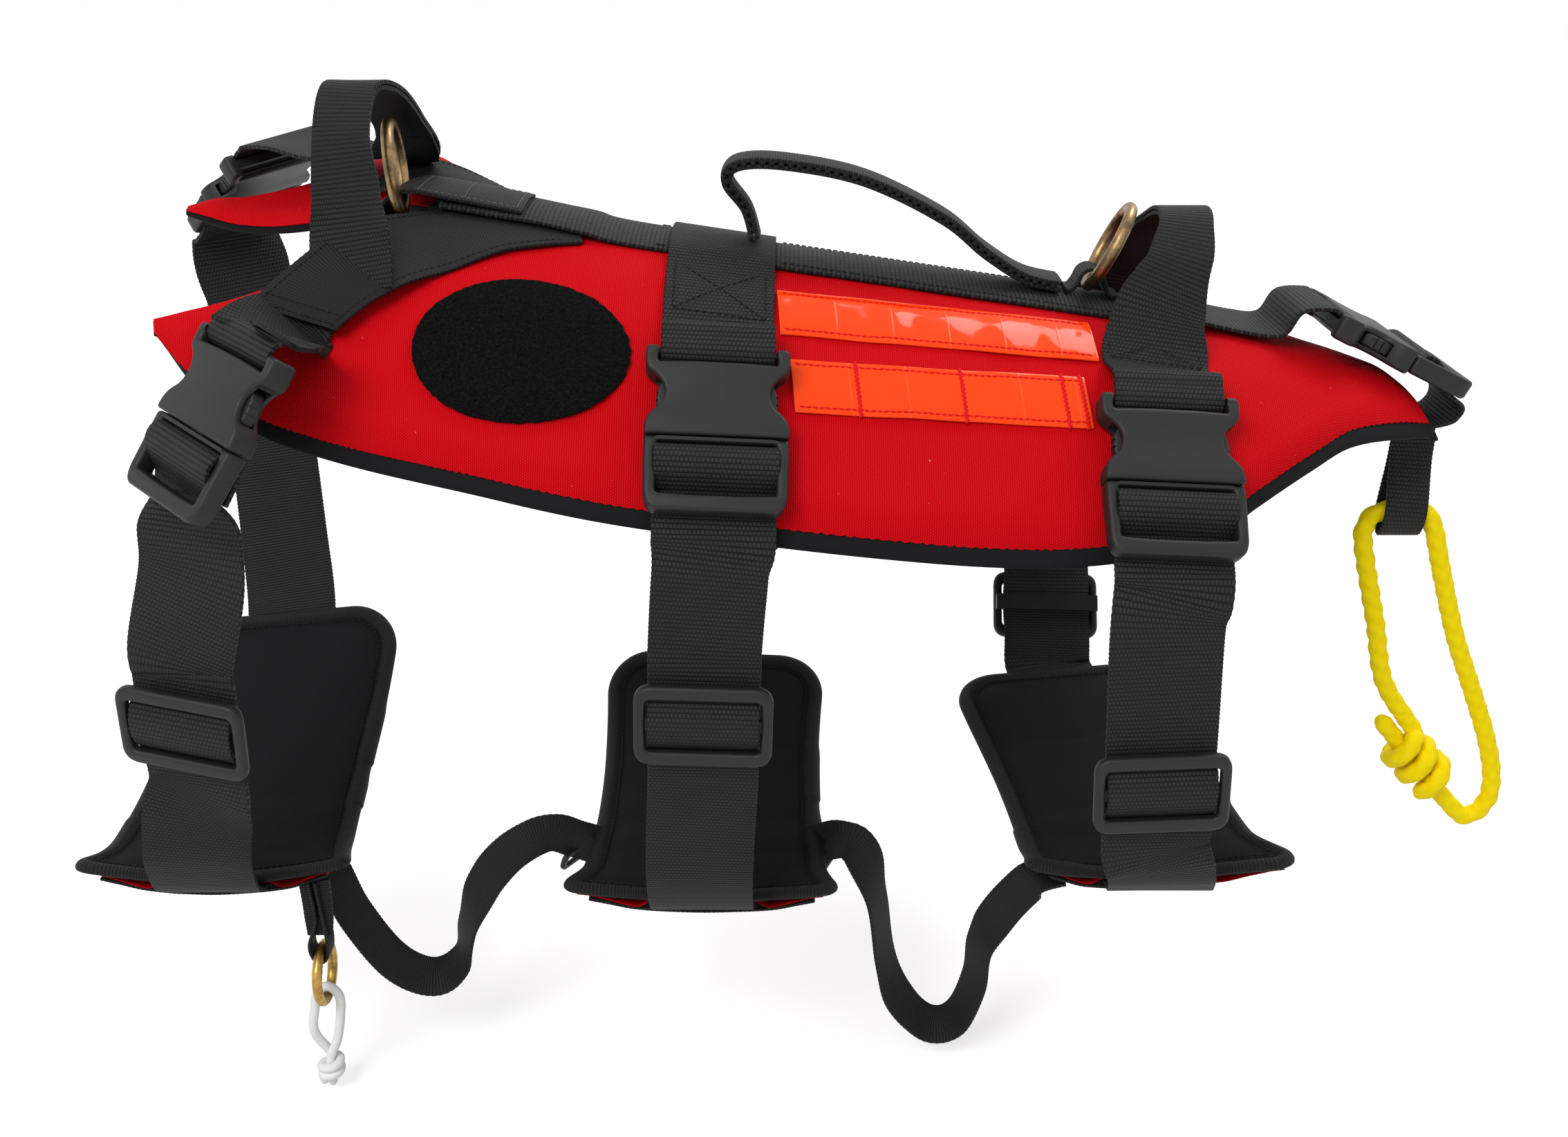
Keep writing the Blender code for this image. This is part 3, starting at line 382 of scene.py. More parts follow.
# %% [markdown]
# Webbing, cords and piping all follow a route: a smooth curve through a few knots.
# A strap also needs to know which way its width points at each knot, because it twists as it goes.
# These helpers turn knots into evenly laid rows, and put a buckle's own axes into the world.

# %% Routes and placements
def smooth_route(knots, steps):
    """Points of the smooth curve through the knots, with the given steps from knot to knot."""
    last = len(knots) - 1
    points = []
    for index in range(last):
        a = knots[max(index - 1, 0)]
        b, c = knots[index], knots[index + 1]
        d = knots[min(index + 2, last)]
        for step in range(steps):
            t = step / steps
            pull_in = (c - a) * (0.5 * t * (1.0 - t) ** 2)
            pull_out = (d - b) * (0.5 * t * t * (t - 1.0))
            points.append(b.lerp(c, ease(t)) + pull_in + pull_out)
    points.append(knots[-1].copy())
    return points


def lay_out(knots, steps):
    """Rows (centre, width vector, heading) along a route; each knot is (centre, width direction, width)."""
    points = smooth_route([knot[0] for knot in knots], steps)
    last = len(points) - 1
    rows = []
    for index, point in enumerate(points):
        ahead = points[min(index + 1, last)] - points[max(index - 1, 0)]
        ahead.normalize()
        knot = min(index // steps, len(knots) - 2)
        part = ease(index / steps - knot)
        across = knots[knot][1].lerp(knots[knot + 1][1], part)
        across = (across - ahead * across.dot(ahead)).normalized()
        width = knots[knot][2] + (knots[knot + 1][2] - knots[knot][2]) * part
        rows.append((point, across * width, ahead))
    return rows


def frame_of(origin, along, face):
    """Placement whose local y is along and local z the outer face."""
    along = along.normalized()
    face = (face - along * face.dot(along)).normalized()
    turn = Matrix((along.cross(face), along, face)).transposed()
    return Matrix.Translation(origin) @ turn.to_4x4()


def lengths_along(points):
    """Distance from the start of a route to each of its points."""
    walked = [0.0]
    for before, after in zip(points, points[1:]):
        walked.append(walked[-1] + (after - before).length)
    return walked


EAST, NORTH = Vector((1.0, 0.0, 0.0)), Vector((0.0, 1.0, 0.0))
BACKWARD = Vector((1.0, 0.0, -SPINE_SLOPE))
WEBBING_WIDTH, WEBBING_THICK = 50 * MM, 2.0 * MM
LINING_THICK, COVER_THICK, LAID_GAP = 8.5 * MM, 1.5 * MM, 0.5 * MM
COVER_TOP = LINING_THICK + LAID_GAP + COVER_THICK
LAID = COVER_TOP + LAID_GAP + WEBBING_THICK / 2
LAID_OVER = LAID + LAID_GAP + WEBBING_THICK


def laid_knot(x, s, h, width=WEBBING_WIDTH, hint=BACKWARD):
    return (drape(x * MM, s * MM, h), hint, width)


def free_knot(x, y, z, width=50, hint=EAST):
    return (at(x, y, z), hint, width * MM)


def spot(x, s):
    return Vector((x, s, 0.0)) * MM


print("webbing lies", round(LAID / MM, 2), "mm above the dog")

# %% [markdown]
# Every finish is a small network of shader nodes.
# Written as wires it would be hard to read, so one small class lets plain arithmetic add the Math nodes.
# A Finish starts with the constants of its surface, and a Value is anything that varies over that surface.

# %% Writing finishes as arithmetic
class Value:
    """A number that varies over a surface; arithmetic on it adds Math nodes."""

    def __init__(self, finish, socket):
        self.finish = finish
        self.socket = socket

    def __add__(self, other):
        return self.finish.math("ADD", self, other)

    def __sub__(self, other):
        return self.finish.math("SUBTRACT", self, other)

    def __rsub__(self, other):
        return self.finish.math("SUBTRACT", other, self)

    def __mul__(self, other):
        return self.finish.math("MULTIPLY", self, other)

    def __truediv__(self, other):
        return self.finish.math("DIVIDE", self, other)

    __radd__ = __add__
    __rmul__ = __mul__


class Finish:
    """A procedural material: constants go straight on the shader, the rest is fed by nodes."""

    def __init__(self, name, **constants):
        self.material = bpy.data.materials.new(name)
        self.material.use_nodes = True
        self.tree = self.material.node_tree
        self.shader = self.tree.nodes["Principled BSDF"]
        for socket, value in constants.items():
            self.shader.inputs[socket.replace("_", " ")].default_value = value

    def node(self, kind, settings, sockets, output=0):
        made = self.tree.nodes.new(kind)
        for key, value in settings.items():
            setattr(made, key, value)
        for key, value in sockets.items():
            if isinstance(value, Value):
                self.tree.links.new(value.socket, made.inputs[key])
            else:
                made.inputs[key].default_value = value
        return Value(self, made.outputs[output])

    def math(self, operation, *terms):
        return self.node("ShaderNodeMath", {"operation": operation}, dict(enumerate(terms)))

    def clamp(self, value):
        return self.node("ShaderNodeMath", {"operation": "ADD", "use_clamp": True}, {0: value, 1: 0.0})

    def cloth(self):
        """The piece's own cloth map in metres: across and along."""
        held = self.node("ShaderNodeUVMap", {"uv_map": "cloth"}, {})
        apart = self.node("ShaderNodeSeparateXYZ", {}, {0: held})
        return apart, Value(self, apart.socket.node.outputs[1])

    def solid(self):
        return self.node("ShaderNodeTexCoord", {}, {}, "Object")

    def cloth_vector(self):
        return self.node("ShaderNodeUVMap", {"uv_map": "cloth"}, {})

    def grain(self, where, scale, detail=2.0, roughness=0.5):
        settings = {"noise_dimensions": "3D"}
        sockets = {"Vector": where, "Scale": scale, "Detail": detail, "Roughness": roughness}
        return self.node("ShaderNodeTexNoise", settings, sockets)

    def blend(self, factor, first, second):
        """Colour between two colours; each is an (r, g, b) or another blend."""
        sockets = {0: factor}
        for key, colour in ((6, first), (7, second)):
            sockets[key] = colour if isinstance(colour, Value) else (*colour, 1.0)
        return self.node("ShaderNodeMix", {"data_type": "RGBA"}, sockets, 2)

    def feed(self, **values):
        for socket, value in values.items():
            self.tree.links.new(value.socket, self.shader.inputs[socket.replace("_", " ")])

    def relief(self, height, depth, strength=1.0):
        bump = self.node("ShaderNodeBump", {}, {"Height": height, "Distance": depth, "Strength": strength})
        self.feed(Normal=bump)

    def bead(self, across, along, wide, long, stagger=0.5):
        """Rounded yarn tops in rows: 1 on a top and 0 in the dips, every second row moved sideways."""
        row = self.math("FLOOR", along / long)
        shift = self.math("FLOORED_MODULO", row, 2.0) * stagger
        right = self.math("FRACT", across / wide + shift) - 0.5
        ahead = self.math("FRACT", along / long) - 0.5
        hollow = right * right * 4.0 + ahead * ahead * 4.0
        return self.math("SQRT", self.math("MAXIMUM", 1.0 - hollow, 0.0))

    def rib(self, across, along, wide, long):
        """Yarn tops that run together in rows: 1 on a top, lower between two tops, and 0 between two rows."""
        row = self.math("FLOOR", along / long)
        right = self.math("FRACT", across / wide + self.math("FLOORED_MODULO", row, 2.0) * 0.5) - 0.5
        ahead = self.math("FRACT", along / long) - 0.5
        crest = self.math("SQRT", self.math("MAXIMUM", 1.0 - ahead * ahead * 4.0, 0.0))
        return crest * (1.0 - right * right * 2.0)


print("finish class ready")

# %% [markdown]
# The red cover is a tough plain weave, about one yarn to the millimetre.
# Small rounded yarn tops in a staggered grid make the weave, and a slow cloud of noise keeps the red uneven.
# A few pale specks of lint sit on the cloth, as they do in the picture.

# %% Red cover cloth
red_cloth = Finish("red_cover_cloth", Specular_IOR_Level=0.08)
across, along = red_cloth.cloth()
yarn = red_cloth.bead(across, along, 1.15 * MM, 1.0 * MM)
cloud = red_cloth.grain(red_cloth.solid(), 22.0, 3.0)
lint = red_cloth.math("GREATER_THAN", red_cloth.grain(red_cloth.cloth_vector(), 420.0, 1.0), 0.795)
woven_red = red_cloth.blend(yarn, (0.46, 0.0004, 0.003), (0.80, 0.0015, 0.008))
uneven_red = red_cloth.blend(cloud * 0.3, woven_red, (0.52, 0.0005, 0.004))
red_cloth.feed(Base_Color=red_cloth.blend(lint * 0.3, uneven_red, (0.75, 0.35, 0.33)))
red_cloth.feed(Roughness=0.82 - yarn * 0.14)
red_cloth.relief(yarn + cloud * 0.6, 0.35 * MM, 0.7)
print("finish", red_cloth.material.name)

# %% [markdown]
# The lining and the inner face of the belly pads are smooth stretch cloth bonded to foam.
# It is nearly black and matt, with a very fine knit and soft uneven patches.

# %% Black stretch lining
stretch = Finish("black_stretch_lining", Specular_IOR_Level=0.12)
across, along = stretch.cloth()
knit = stretch.bead(across, along, 0.7 * MM, 0.5 * MM, 0.0)
patchy = stretch.grain(stretch.solid(), 60.0, 3.0)
uneven_black = stretch.blend(knit * 0.5 + patchy * 0.5, (0.0035, 0.0035, 0.0045), (0.011, 0.011, 0.0125))
stretch.feed(Base_Color=uneven_black)
stretch.feed(Roughness=0.74 - knit * 0.1 + patchy * 0.08)
stretch.relief(knit * 0.5 + patchy * 1.2, 0.18 * MM, 0.6)
print("finish", stretch.material.name)

# %% [markdown]
# Harness webbing is woven in ribs that run across the strap, each rib a row of small yarn tops.
# The heavy webbing has ribs 2.2 mm apart, and the sewn-down tapes are finer.
# Yarn tops are painted paler than the dips, partly as wear and partly as a painted highlight where they catch the
# light, with painted shade in the dips; the tops are also smoother.

# %% Black webbing, heavy and fine
def webbing_finish(name, wide, long, depth, pale):
    made = Finish(name, Specular_IOR_Level=0.22)
    across, along = made.cloth()
    yarn = made.rib(across, along, wide, long)
    ply = made.math("SINE", across * (math.tau * 3.0 / wide) + along * (math.tau * 2.0 / long)) * 0.5 + 0.5
    dust = made.grain(made.solid(), 45.0, 4.0, 0.6)
    height = yarn * (0.85 + ply * 0.15)
    # Paler yarn tops: partly wear, partly painted highlight; the dips darker as painted shade.
    lit_and_worn_tops = made.clamp(height * height * (0.6 + dust * 0.8))
    made.feed(Base_Color=made.blend(lit_and_worn_tops, (0.0016, 0.0016, 0.0018), pale))
    made.feed(Roughness=0.72 - height * 0.2 + dust * 0.06)
    made.relief(height, depth, 0.9)
    return made


heavy_webbing = webbing_finish("heavy_black_webbing", 1.85 * MM, 2.2 * MM, 0.75 * MM, (0.027, 0.027, 0.0285))
soft_webbing = webbing_finish("soft_black_webbing", 1.9 * MM, 1.65 * MM, 0.55 * MM, (0.024, 0.024, 0.0255))
fine_webbing = webbing_finish("fine_black_webbing", 1.25 * MM, 1.3 * MM, 0.4 * MM, (0.019, 0.019, 0.0202))
binding_tape = webbing_finish("black_binding_tape", 0.8 * MM, 1.25 * MM, 0.36 * MM, (0.016, 0.016, 0.017))
print("finishes", heavy_webbing.material.name, fine_webbing.material.name, binding_tape.material.name)

# %% [markdown]
# Buckles and adjusters are moulded plastic, charcoal rather than black.
# The mould leaves a fine grain, and handling rubs small bright scuffs into it.

# %% Charcoal plastic
plastic = Finish("charcoal_plastic", Specular_IOR_Level=0.34)
inside = plastic.solid()
pebble = plastic.grain(inside, 2600.0, 2.0)
smear = plastic.grain(inside, 70.0, 4.0, 0.6)
scuff = plastic.clamp(plastic.grain(inside, 420.0, 5.0, 0.75) * 9.0 - 6.0)
charcoal = plastic.blend(scuff * 0.5 + smear * 0.25, (0.0075, 0.0075, 0.0081), (0.03, 0.03, 0.031))
plastic.feed(Base_Color=charcoal)
plastic.feed(Roughness=0.43 + smear * 0.14 - scuff * 0.05)
plastic.relief(pebble, 0.06 * MM, 0.55)
print("finish", plastic.material.name)

# %% [markdown]
# The rings are plated steel aged to look like old brass: dark brown in the hollows, yellow where rubbed.
# Large noise lays the patina, and fine noise breaks it up.

# %% Aged brass
def brass_finish(name, bright, dark, wear):
    made = Finish(name, Metallic=1.0)
    inside = made.solid()
    patina = made.grain(inside, 140.0, 5.0, 0.65)
    speck = made.grain(inside, 1500.0, 3.0, 0.6)
    rubbed = made.clamp((patina * 0.75 + speck * 0.25 - 0.5) * 4.0 + wear)
    made.feed(Base_Color=made.blend(rubbed, dark, bright))
    made.feed(Roughness=0.44 - rubbed * 0.16 + speck * 0.06)
    made.relief(speck + patina, 0.05 * MM, 0.5)
    return made


ring_brass = brass_finish("aged_ring_brass", (0.42, 0.27, 0.12), (0.13, 0.095, 0.06), 0.45)
small_brass = brass_finish("yellow_ring_brass", (0.55, 0.34, 0.09), (0.21, 0.13, 0.035), 0.6)
print("finishes", ring_brass.material.name, small_brass.material.name)

# %% [markdown]
# The loop side of a hook fastener is a black pile of fine loops in clumps; the pits between the clumps are painted
# darker, as painted shade.

# %% Loop pile
pile = Finish(
    "black_loop_pile", Roughness=1.0, Specular_IOR_Level=0.03, Sheen_Weight=0.02, Sheen_Roughness=0.6)
inside = pile.solid()
clump = pile.grain(inside, 900.0, 2.0, 0.6)
fibre = pile.grain(inside, 3200.0, 2.0, 0.6)
clumps_and_pit_shade = pile.clamp((clump * 0.55 + fibre * 0.6 - 0.42) * 2.6)
# Pits between clumps painted darker as painted shade, clump tops paler.
pile.feed(Base_Color=pile.blend(clumps_and_pit_shade * clumps_and_pit_shade, (0.0009, 0.0009, 0.001), (0.017, 0.017, 0.0172)))
pile.relief(clump * 0.6 + fibre, 0.6 * MM, 0.8)
print("finish", pile.material.name)

# %% [markdown]
# The bright strips are clear vinyl over a fluorescent film with printed cells, so they are glossy.
# The waves are modelled in the strip itself; the finish only adds the faint cell walls and the colour.

# %% Fluorescent vinyl
vinyl = Finish("fluorescent_vinyl", Specular_IOR_Level=0.14, Coat_Weight=0.1, Coat_Roughness=0.02)
across, along = vinyl.cloth()
cell = vinyl.math("ABSOLUTE", vinyl.math("FRACT", along / (26.0 * MM)) - 0.5)
wall = vinyl.clamp((cell - 0.476) * 60.0)
shade = vinyl.grain(vinyl.solid(), 55.0, 3.0)
glowing = vinyl.blend(shade * 0.5, (1.0, 0.062, 0.0), (0.88, 0.036, 0.0))
vinyl.feed(Base_Color=vinyl.blend(wall * 0.18, glowing, (1.0, 0.2, 0.06)))
vinyl.feed(Roughness=0.07 + shade * 0.06)
vinyl.relief(shade + wall * 0.4, 0.4 * MM, 0.35)
print("finish", vinyl.material.name)

# %% [markdown]
# The pull rope is a hollow braid of yellow polypropylene, and the belly cord a fine white braid.
# The strands are modelled; the finish adds the fibres that lie along each strand.

# %% Rope, cord and thread
def fibre_finish(name, dark, pale, fibres, roughness, specular):
    made = Finish(name, Specular_IOR_Level=specular)
    across, along = made.cloth()
    hair = made.grain(made.cloth_vector(), fibres, 3.0, 0.6)
    streak = made.math("SINE", across * 9000.0 + along * 5200.0 + hair * 6.0) * 0.5 + 0.5
    made.feed(Base_Color=made.blend(streak * 0.6 + hair * 0.4, dark, pale))
    made.feed(Roughness=roughness + hair * 0.12)
    made.relief(streak * 0.6 + hair, 0.12 * MM, 0.6)
    return made


yellow_rope = fibre_finish("yellow_braid", (0.97, 0.68, 0.0), (1.0, 0.84, 0.001), 900.0, 0.45, 0.1)
white_cord = fibre_finish("white_braid", (0.86, 0.86, 0.87), (0.96, 0.96, 0.96), 1400.0, 0.6, 0.3)


def thread_finish(name, dark, pale):
    made = Finish(name, Specular_IOR_Level=0.12)
    twist = made.grain(made.solid(), 2400.0, 2.0)
    made.feed(Base_Color=made.blend(twist, dark, pale))
    made.feed(Roughness=0.5 + twist * 0.2)
    return made


red_thread = thread_finish("red_thread", (0.6, 0.002, 0.006), (0.85, 0.008, 0.014))
black_thread = thread_finish("black_thread", (0.004, 0.004, 0.004), (0.02, 0.02, 0.021))
grey_thread = thread_finish("grey_thread", (0.06, 0.06, 0.062), (0.16, 0.16, 0.165))
print("finishes", yellow_rope.material.name, white_cord.material.name, red_thread.material.name)

# %% [markdown]
# A few habits are the same for every piece, so they are written once.
# Nothing else may be selected when an operator runs, because the frame arrives with all its nodes selected.
# A cloth piece starts as a grid whose points are laid out one by one, and keeps a cloth map in metres.
# Modifiers are applied, so the finished mesh sits at the origin as the solids do.

# %% Habits for every piece
def alone(piece):
    bpy.ops.object.select_all(action="DESELECT")
    piece.select_set(True)
    bpy.context.view_layer.objects.active = piece


def settle(piece, kind, **settings):
    """Add one modifier and apply it."""
    alone(piece)
    change = piece.modifiers.new(kind.lower(), kind)
    for key, value in settings.items():
        setattr(change, key, value)
    bpy.ops.object.modifier_apply(modifier=change.name)


def lay_grid(name, columns, rows, place, span):
    """Grid with its points where place(across, along) says; span gives each point's cloth map in metres."""
    bpy.ops.object.select_all(action="DESELECT")
    bpy.ops.mesh.primitive_grid_add(x_subdivisions=columns, y_subdivisions=rows, size=1.0)
    piece = bpy.context.object
    piece.name = name
    piece.data.name = name
    layer = piece.data.uv_layers[0]
    layer.name = "cloth"
    spans = []
    for vertex in piece.data.vertices:
        across, along = vertex.co.x + 0.5, vertex.co.y + 0.5
        spans.append(span(across, along))
        vertex.co = place(across, along)
    flat = [value for loop in piece.data.loops for value in spans[loop.vertex_index]]
    layer.data.foreach_set("uv", flat)
    return piece


def dress(piece, finish, slot, body=None, replaced=(), smooth=40):
    """Give a finished piece its material and shading, the record's slot, and the body that carries it."""
    alone(piece)
    piece.data.materials.clear()
    piece.data.materials.append(finish.material)
    bpy.ops.object.shade_smooth_by_angle(angle=math.radians(smooth))
    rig.slot(piece, slot)
    if body is not None:
        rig.ride(piece, body)
    if replaced:
        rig.replaces(piece, *replaced)
    return piece


print("helpers ready")

# %% [markdown]
# The rope and the cord are braids: two sets of strands wind opposite ways and pass over and under each other.
# A tube is laid along the route, and its wall rises where a strand passes over, so its edge is wavy.
# The knots are wound with the same strand that makes the loop, at the same diameter.

# %% Braided cords
EASING = 10


def winding(low, high, radius, turns, count):
    """Points of a strand wound around the line from low to high."""
    axis = (high - low).normalized()
    side = axis.cross(NORTH).normalized()
    other = axis.cross(side)
    points = []
    for index in range(count + 1):
        angle = math.tau * turns * index / count
        away = side * math.cos(angle) + other * math.sin(angle)
        points.append(low.lerp(high, index / count) + away * radius)
    return points


def evenly(points, pitch):
    """The route again, with points a pitch apart."""
    walked = lengths_along(points)
    count = max(round(walked[-1] / pitch), 2)
    wanted = np.linspace(0.0, walked[-1], count + 1)
    table = np.array([tuple(point) for point in points])
    return [Vector([np.interp(place, walked, table[:, axis]) for axis in range(3)]) for place in wanted]


def relax(points, passes):
    """The same route with its corners eased; the ends stay."""
    line = np.array([tuple(point) for point in points])
    for _ in range(passes):
        line[1:-1] = 0.5 * line[1:-1] + 0.25 * (line[:-2] + line[2:])
    return [Vector(row) for row in line]


def weld_seam(piece, gap, capped):
    """Join points that meet within the gap, close open ends if asked, and turn the faces outwards."""
    alone(piece)
    bpy.ops.object.mode_set(mode="EDIT")
    bpy.ops.mesh.select_all(action="SELECT")
    bpy.ops.mesh.remove_doubles(threshold=gap)
    if capped:
        bpy.ops.mesh.select_all(action="DESELECT")
        bpy.ops.mesh.select_non_manifold()
        bpy.ops.mesh.edge_face_add()
        bpy.ops.mesh.select_all(action="SELECT")
    bpy.ops.mesh.normals_make_consistent(inside=False)
    bpy.ops.object.mode_set(mode="OBJECT")


def braid(name, route, diameter, strands, lay, swell, around, pitch):
    """Tube along the route whose wall follows crossing strands; returns it with its ring centres."""
    centres = evenly(relax(evenly(route, pitch), EASING), pitch)
    last = len(centres) - 1
    side = (centres[1] - centres[0]).orthogonal().normalized()
    frames = []
    for index in range(last + 1):
        ahead = (centres[min(index + 1, last)] - centres[max(index - 1, 0)]).normalized()
        side = (side - ahead * side.dot(ahead)).normalized()
        frames.append((side.copy(), ahead.cross(side)))
    radius = diameter / 2

    def place(across, along):
        index = round(along * last)
        angle = math.tau * across
        one = strands * across + index * pitch / lay
        two = strands * across - index * pitch / lay
        over = math.sqrt(abs(math.sin(math.pi * one) * math.sin(math.pi * two)))
        end = min(index, last - index) * pitch
        closing = math.sqrt(min(1.0, (end + 0.2 * radius) / radius))
        reach = radius * (1.0 - swell + swell * 1.6 * over) * closing
        side, other = frames[index]
        return centres[index] + (side * math.cos(angle) + other * math.sin(angle)) * reach

    def span(across, along):
        return (across * math.pi * diameter, along * last * pitch)

    made = lay_grid(name, around, last, place, span)
    weld_seam(made, 0.01 * MM, True)
    return made, centres


ROPE_DIAMETER, CORD_DIAMETER, CLEAR = 9.4 * MM, 4.7 * MM, 0.1 * MM
ROPE_Y, CORD_Y = -11, -105
rope_low, rope_high = at(364, ROPE_Y, -287), at(318, ROPE_Y, -236)
turns_low, turns_high = rope_low.lerp(rope_high, 0.26), rope_low.lerp(rope_high, 0.74)
ROPE_LOOP = [(318, -215), (309, -181), (299, -145), (296, -130), (299.5, -121), (307, -118), (314, -117.8)]
ROPE_LOOP += [(321, -118.6), (330, -123.5), (340, -154), (352, -189), (366, -221), (378, -250), (384, -272)]
ROPE_LOOP += [(383.5, -287), (375, -296), (364.5, -290)]
rope_knots = winding(turns_low, turns_high, ROPE_DIAMETER + 2 * CLEAR, 2.5, 20)
rope_knots += [at(x, ROPE_Y, z) for x, z in ROPE_LOOP] + [rope_high]
rope_route = smooth_route(rope_knots, 8)
pull_rope, rope_line = braid("pull_rope_braid", rope_route, ROPE_DIAMETER, 3, 9.5 * MM, 0.14, 24, 1.0 * MM)
dress(pull_rope, yellow_rope, "yellow_rope", "pull", ["pull_rope"], 60)
rope_length = lengths_along(rope_line)[-1]
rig.cord(pull_rope, rope_line[0], rope_length, ROPE_DIAMETER, "knot", "limp", "hanging", path=rope_line)

cord_low, cord_high = at(-234, CORD_Y, -401), at(-234, CORD_Y, -385)
CORD_LOOP = [(-240.5, -368), (-238.5, -352), (-237.2, -345.5), (-231.5, -340), (-225.8, -345.5), (-226, -356)]
CORD_LOOP += [(-229, -372)]
cord_knots = [at(-238.5, -104, -401)]
cord_knots += winding(at(-234, CORD_Y, -393.5), cord_high, CORD_DIAMETER + 2 * CLEAR, 1.75, 14)
cord_knots += [at(x, CORD_Y, z) for x, z in CORD_LOOP] + [cord_high, cord_low]
cord_route = smooth_route(cord_knots, 8)
belly_cord, cord_line = braid("belly_cord_braid", cord_route, CORD_DIAMETER, 6, 2.4 * MM, 0.05, 36, 0.5 * MM)
dress(belly_cord, white_cord, "white_cord", "belly_ring", ["belly_cord"], 60)
cord_length = lengths_along(cord_line)[-1]
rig.cord(belly_cord, cord_line[0], cord_length, CORD_DIAMETER, "knot", "limp", "hanging", path=cord_line)
print("rope", round(rope_length, 3), "m, cord", round(cord_length, 3), "m")

# %% [markdown]
# Each side panel is a foam sheet faced with stretch cloth. Its edge is turned, so the rim is soft and round.
# Two grids, one for each face, are laid on the pattern and bridged round the outside.
# Points crowd towards the edges, where the rim curves, and are sparse on the flat.

# %% Padded linings
NECK_EDGE = [(-294, 91), (-251, 74), (-210, 53), (-180, 28), (-158, 0)]
LOWER_EDGE = [(-294, 97), (-280, 114), (-240, 135), (-123, 155), (-59, 159), (68, 156), (137, 147)]
LOWER_EDGE += [(190, 128), (212, 109), (243, 81), (264, 62), (299, 41), (310, 34)]
PANEL_FRONT, PANEL_REAR, RIM, EDGE_ROLL = -294 * MM, 310 * MM, 8 * MM, 22 * MM
LINING_EDGE, RIM_ROUND, RIDGE = 4.0 * MM, 3.5 * MM, 0.4 * MM


def panel_top(x):
    return max(between(NECK_EDGE, min(x / MM, NECK_EDGE[-1][0])) * MM, RIDGE)


def panel_low(x):
    return between(LOWER_EDGE, x / MM) * MM


def lining_height(x, s):
    """Thickness of the foam, rolled down to its edges."""
    share = ease((panel_low(x) + RIM - s) / EDGE_ROLL)
    share *= ease((x - PANEL_FRONT + RIM / 2) / EDGE_ROLL)
    share *= ease((PANEL_REAR + RIM / 2 - x) / EDGE_ROLL)
    if x < NECK_EDGE[-1][0] * MM:
        share *= ease((s - panel_top(x) + RIM) / EDGE_ROLL)
    return LINING_EDGE + (LINING_THICK - LINING_EDGE) * share


def rim_at(x):
    """Width of the black rim, which runs out to nothing at the front tips."""
    return RIM * (0.12 + 0.88 * ease((x - PANEL_FRONT) / (28 * MM)))


def crowd(share):
    return 0.5 - 0.5 * math.cos(math.pi * share)


def bridge(name, lower, upper):
    """Join two laid grids into one closed shell."""
    alone(upper)
    lower.select_set(True)
    bpy.ops.object.join()
    bpy.ops.object.mode_set(mode="EDIT")
    bpy.ops.mesh.select_all(action="DESELECT")
    bpy.ops.mesh.select_non_manifold()
    bpy.ops.mesh.bridge_edge_loops()
    bpy.ops.mesh.select_all(action="SELECT")
    bpy.ops.mesh.normals_make_consistent(inside=False)
    bpy.ops.object.mode_set(mode="OBJECT")
    upper.name = name
    return upper


def add_lining(word, side):
    def where(across, along):
        x = PANEL_FRONT - MM + (PANEL_REAR - PANEL_FRONT + MM + RIM / 2) * crowd(along)
        inner = min(max(x, PANEL_FRONT), PANEL_REAR)
        top = panel_top(inner)
        return x, top + (panel_low(inner) + rim_at(inner) - top) * crowd(across), inner, top

    def lifted(across, along, level):
        x, s, inner, top = where(across, along)
        edge = min(panel_low(inner) + rim_at(inner) - s, x - PANEL_FRONT + MM, PANEL_REAR + RIM / 2 - x)
        if inner < NECK_EDGE[-1][0] * MM:
            edge = min(edge, s - top)
        round_off = math.sqrt(max(1.0 - (1.0 - min(max(edge, 0.0) / RIM_ROUND, 1.0)) ** 2, 0.0))
        thick = lining_height(inner, s)
        return drape(x, side * s, thick * (0.5 + level * 0.5 * round_off))

    def span(across, along):
        x, s, _, _ = where(across, along)
        return (s, x)

    upper = lay_grid("upper", 40, 130, lambda across, along: lifted(across, along, 1.0), span)
    lower = lay_grid("lower", 40, 130, lambda across, along: lifted(across, along, -1.0), span)
    made = bridge(word + "_lining_foam", lower, upper)
    dress(made, stretch, "black_lining", "harness", [word + "_lining"], 60)
    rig.padded(made, 0.7)


add_lining("left", -1.0)
add_lining("right", 1.0)
print("linings laid")

# %% [markdown]
# The red cover is cut 8 mm smaller than the foam, turned under and sewn, so a black rim shows below it.
# Its edge is drawn in a little at every stitch, and between the seams the cloth lies in slow shallow waves.
# The cover is a single laid grid given the thickness of the cloth.

# %% Red covers
PUCKER_PITCH, PUCKER, TUCK, HEM, COVER_DROP = 3.4 * MM, 0.35 * MM, 1.2 * MM, 5 * MM, 0.159


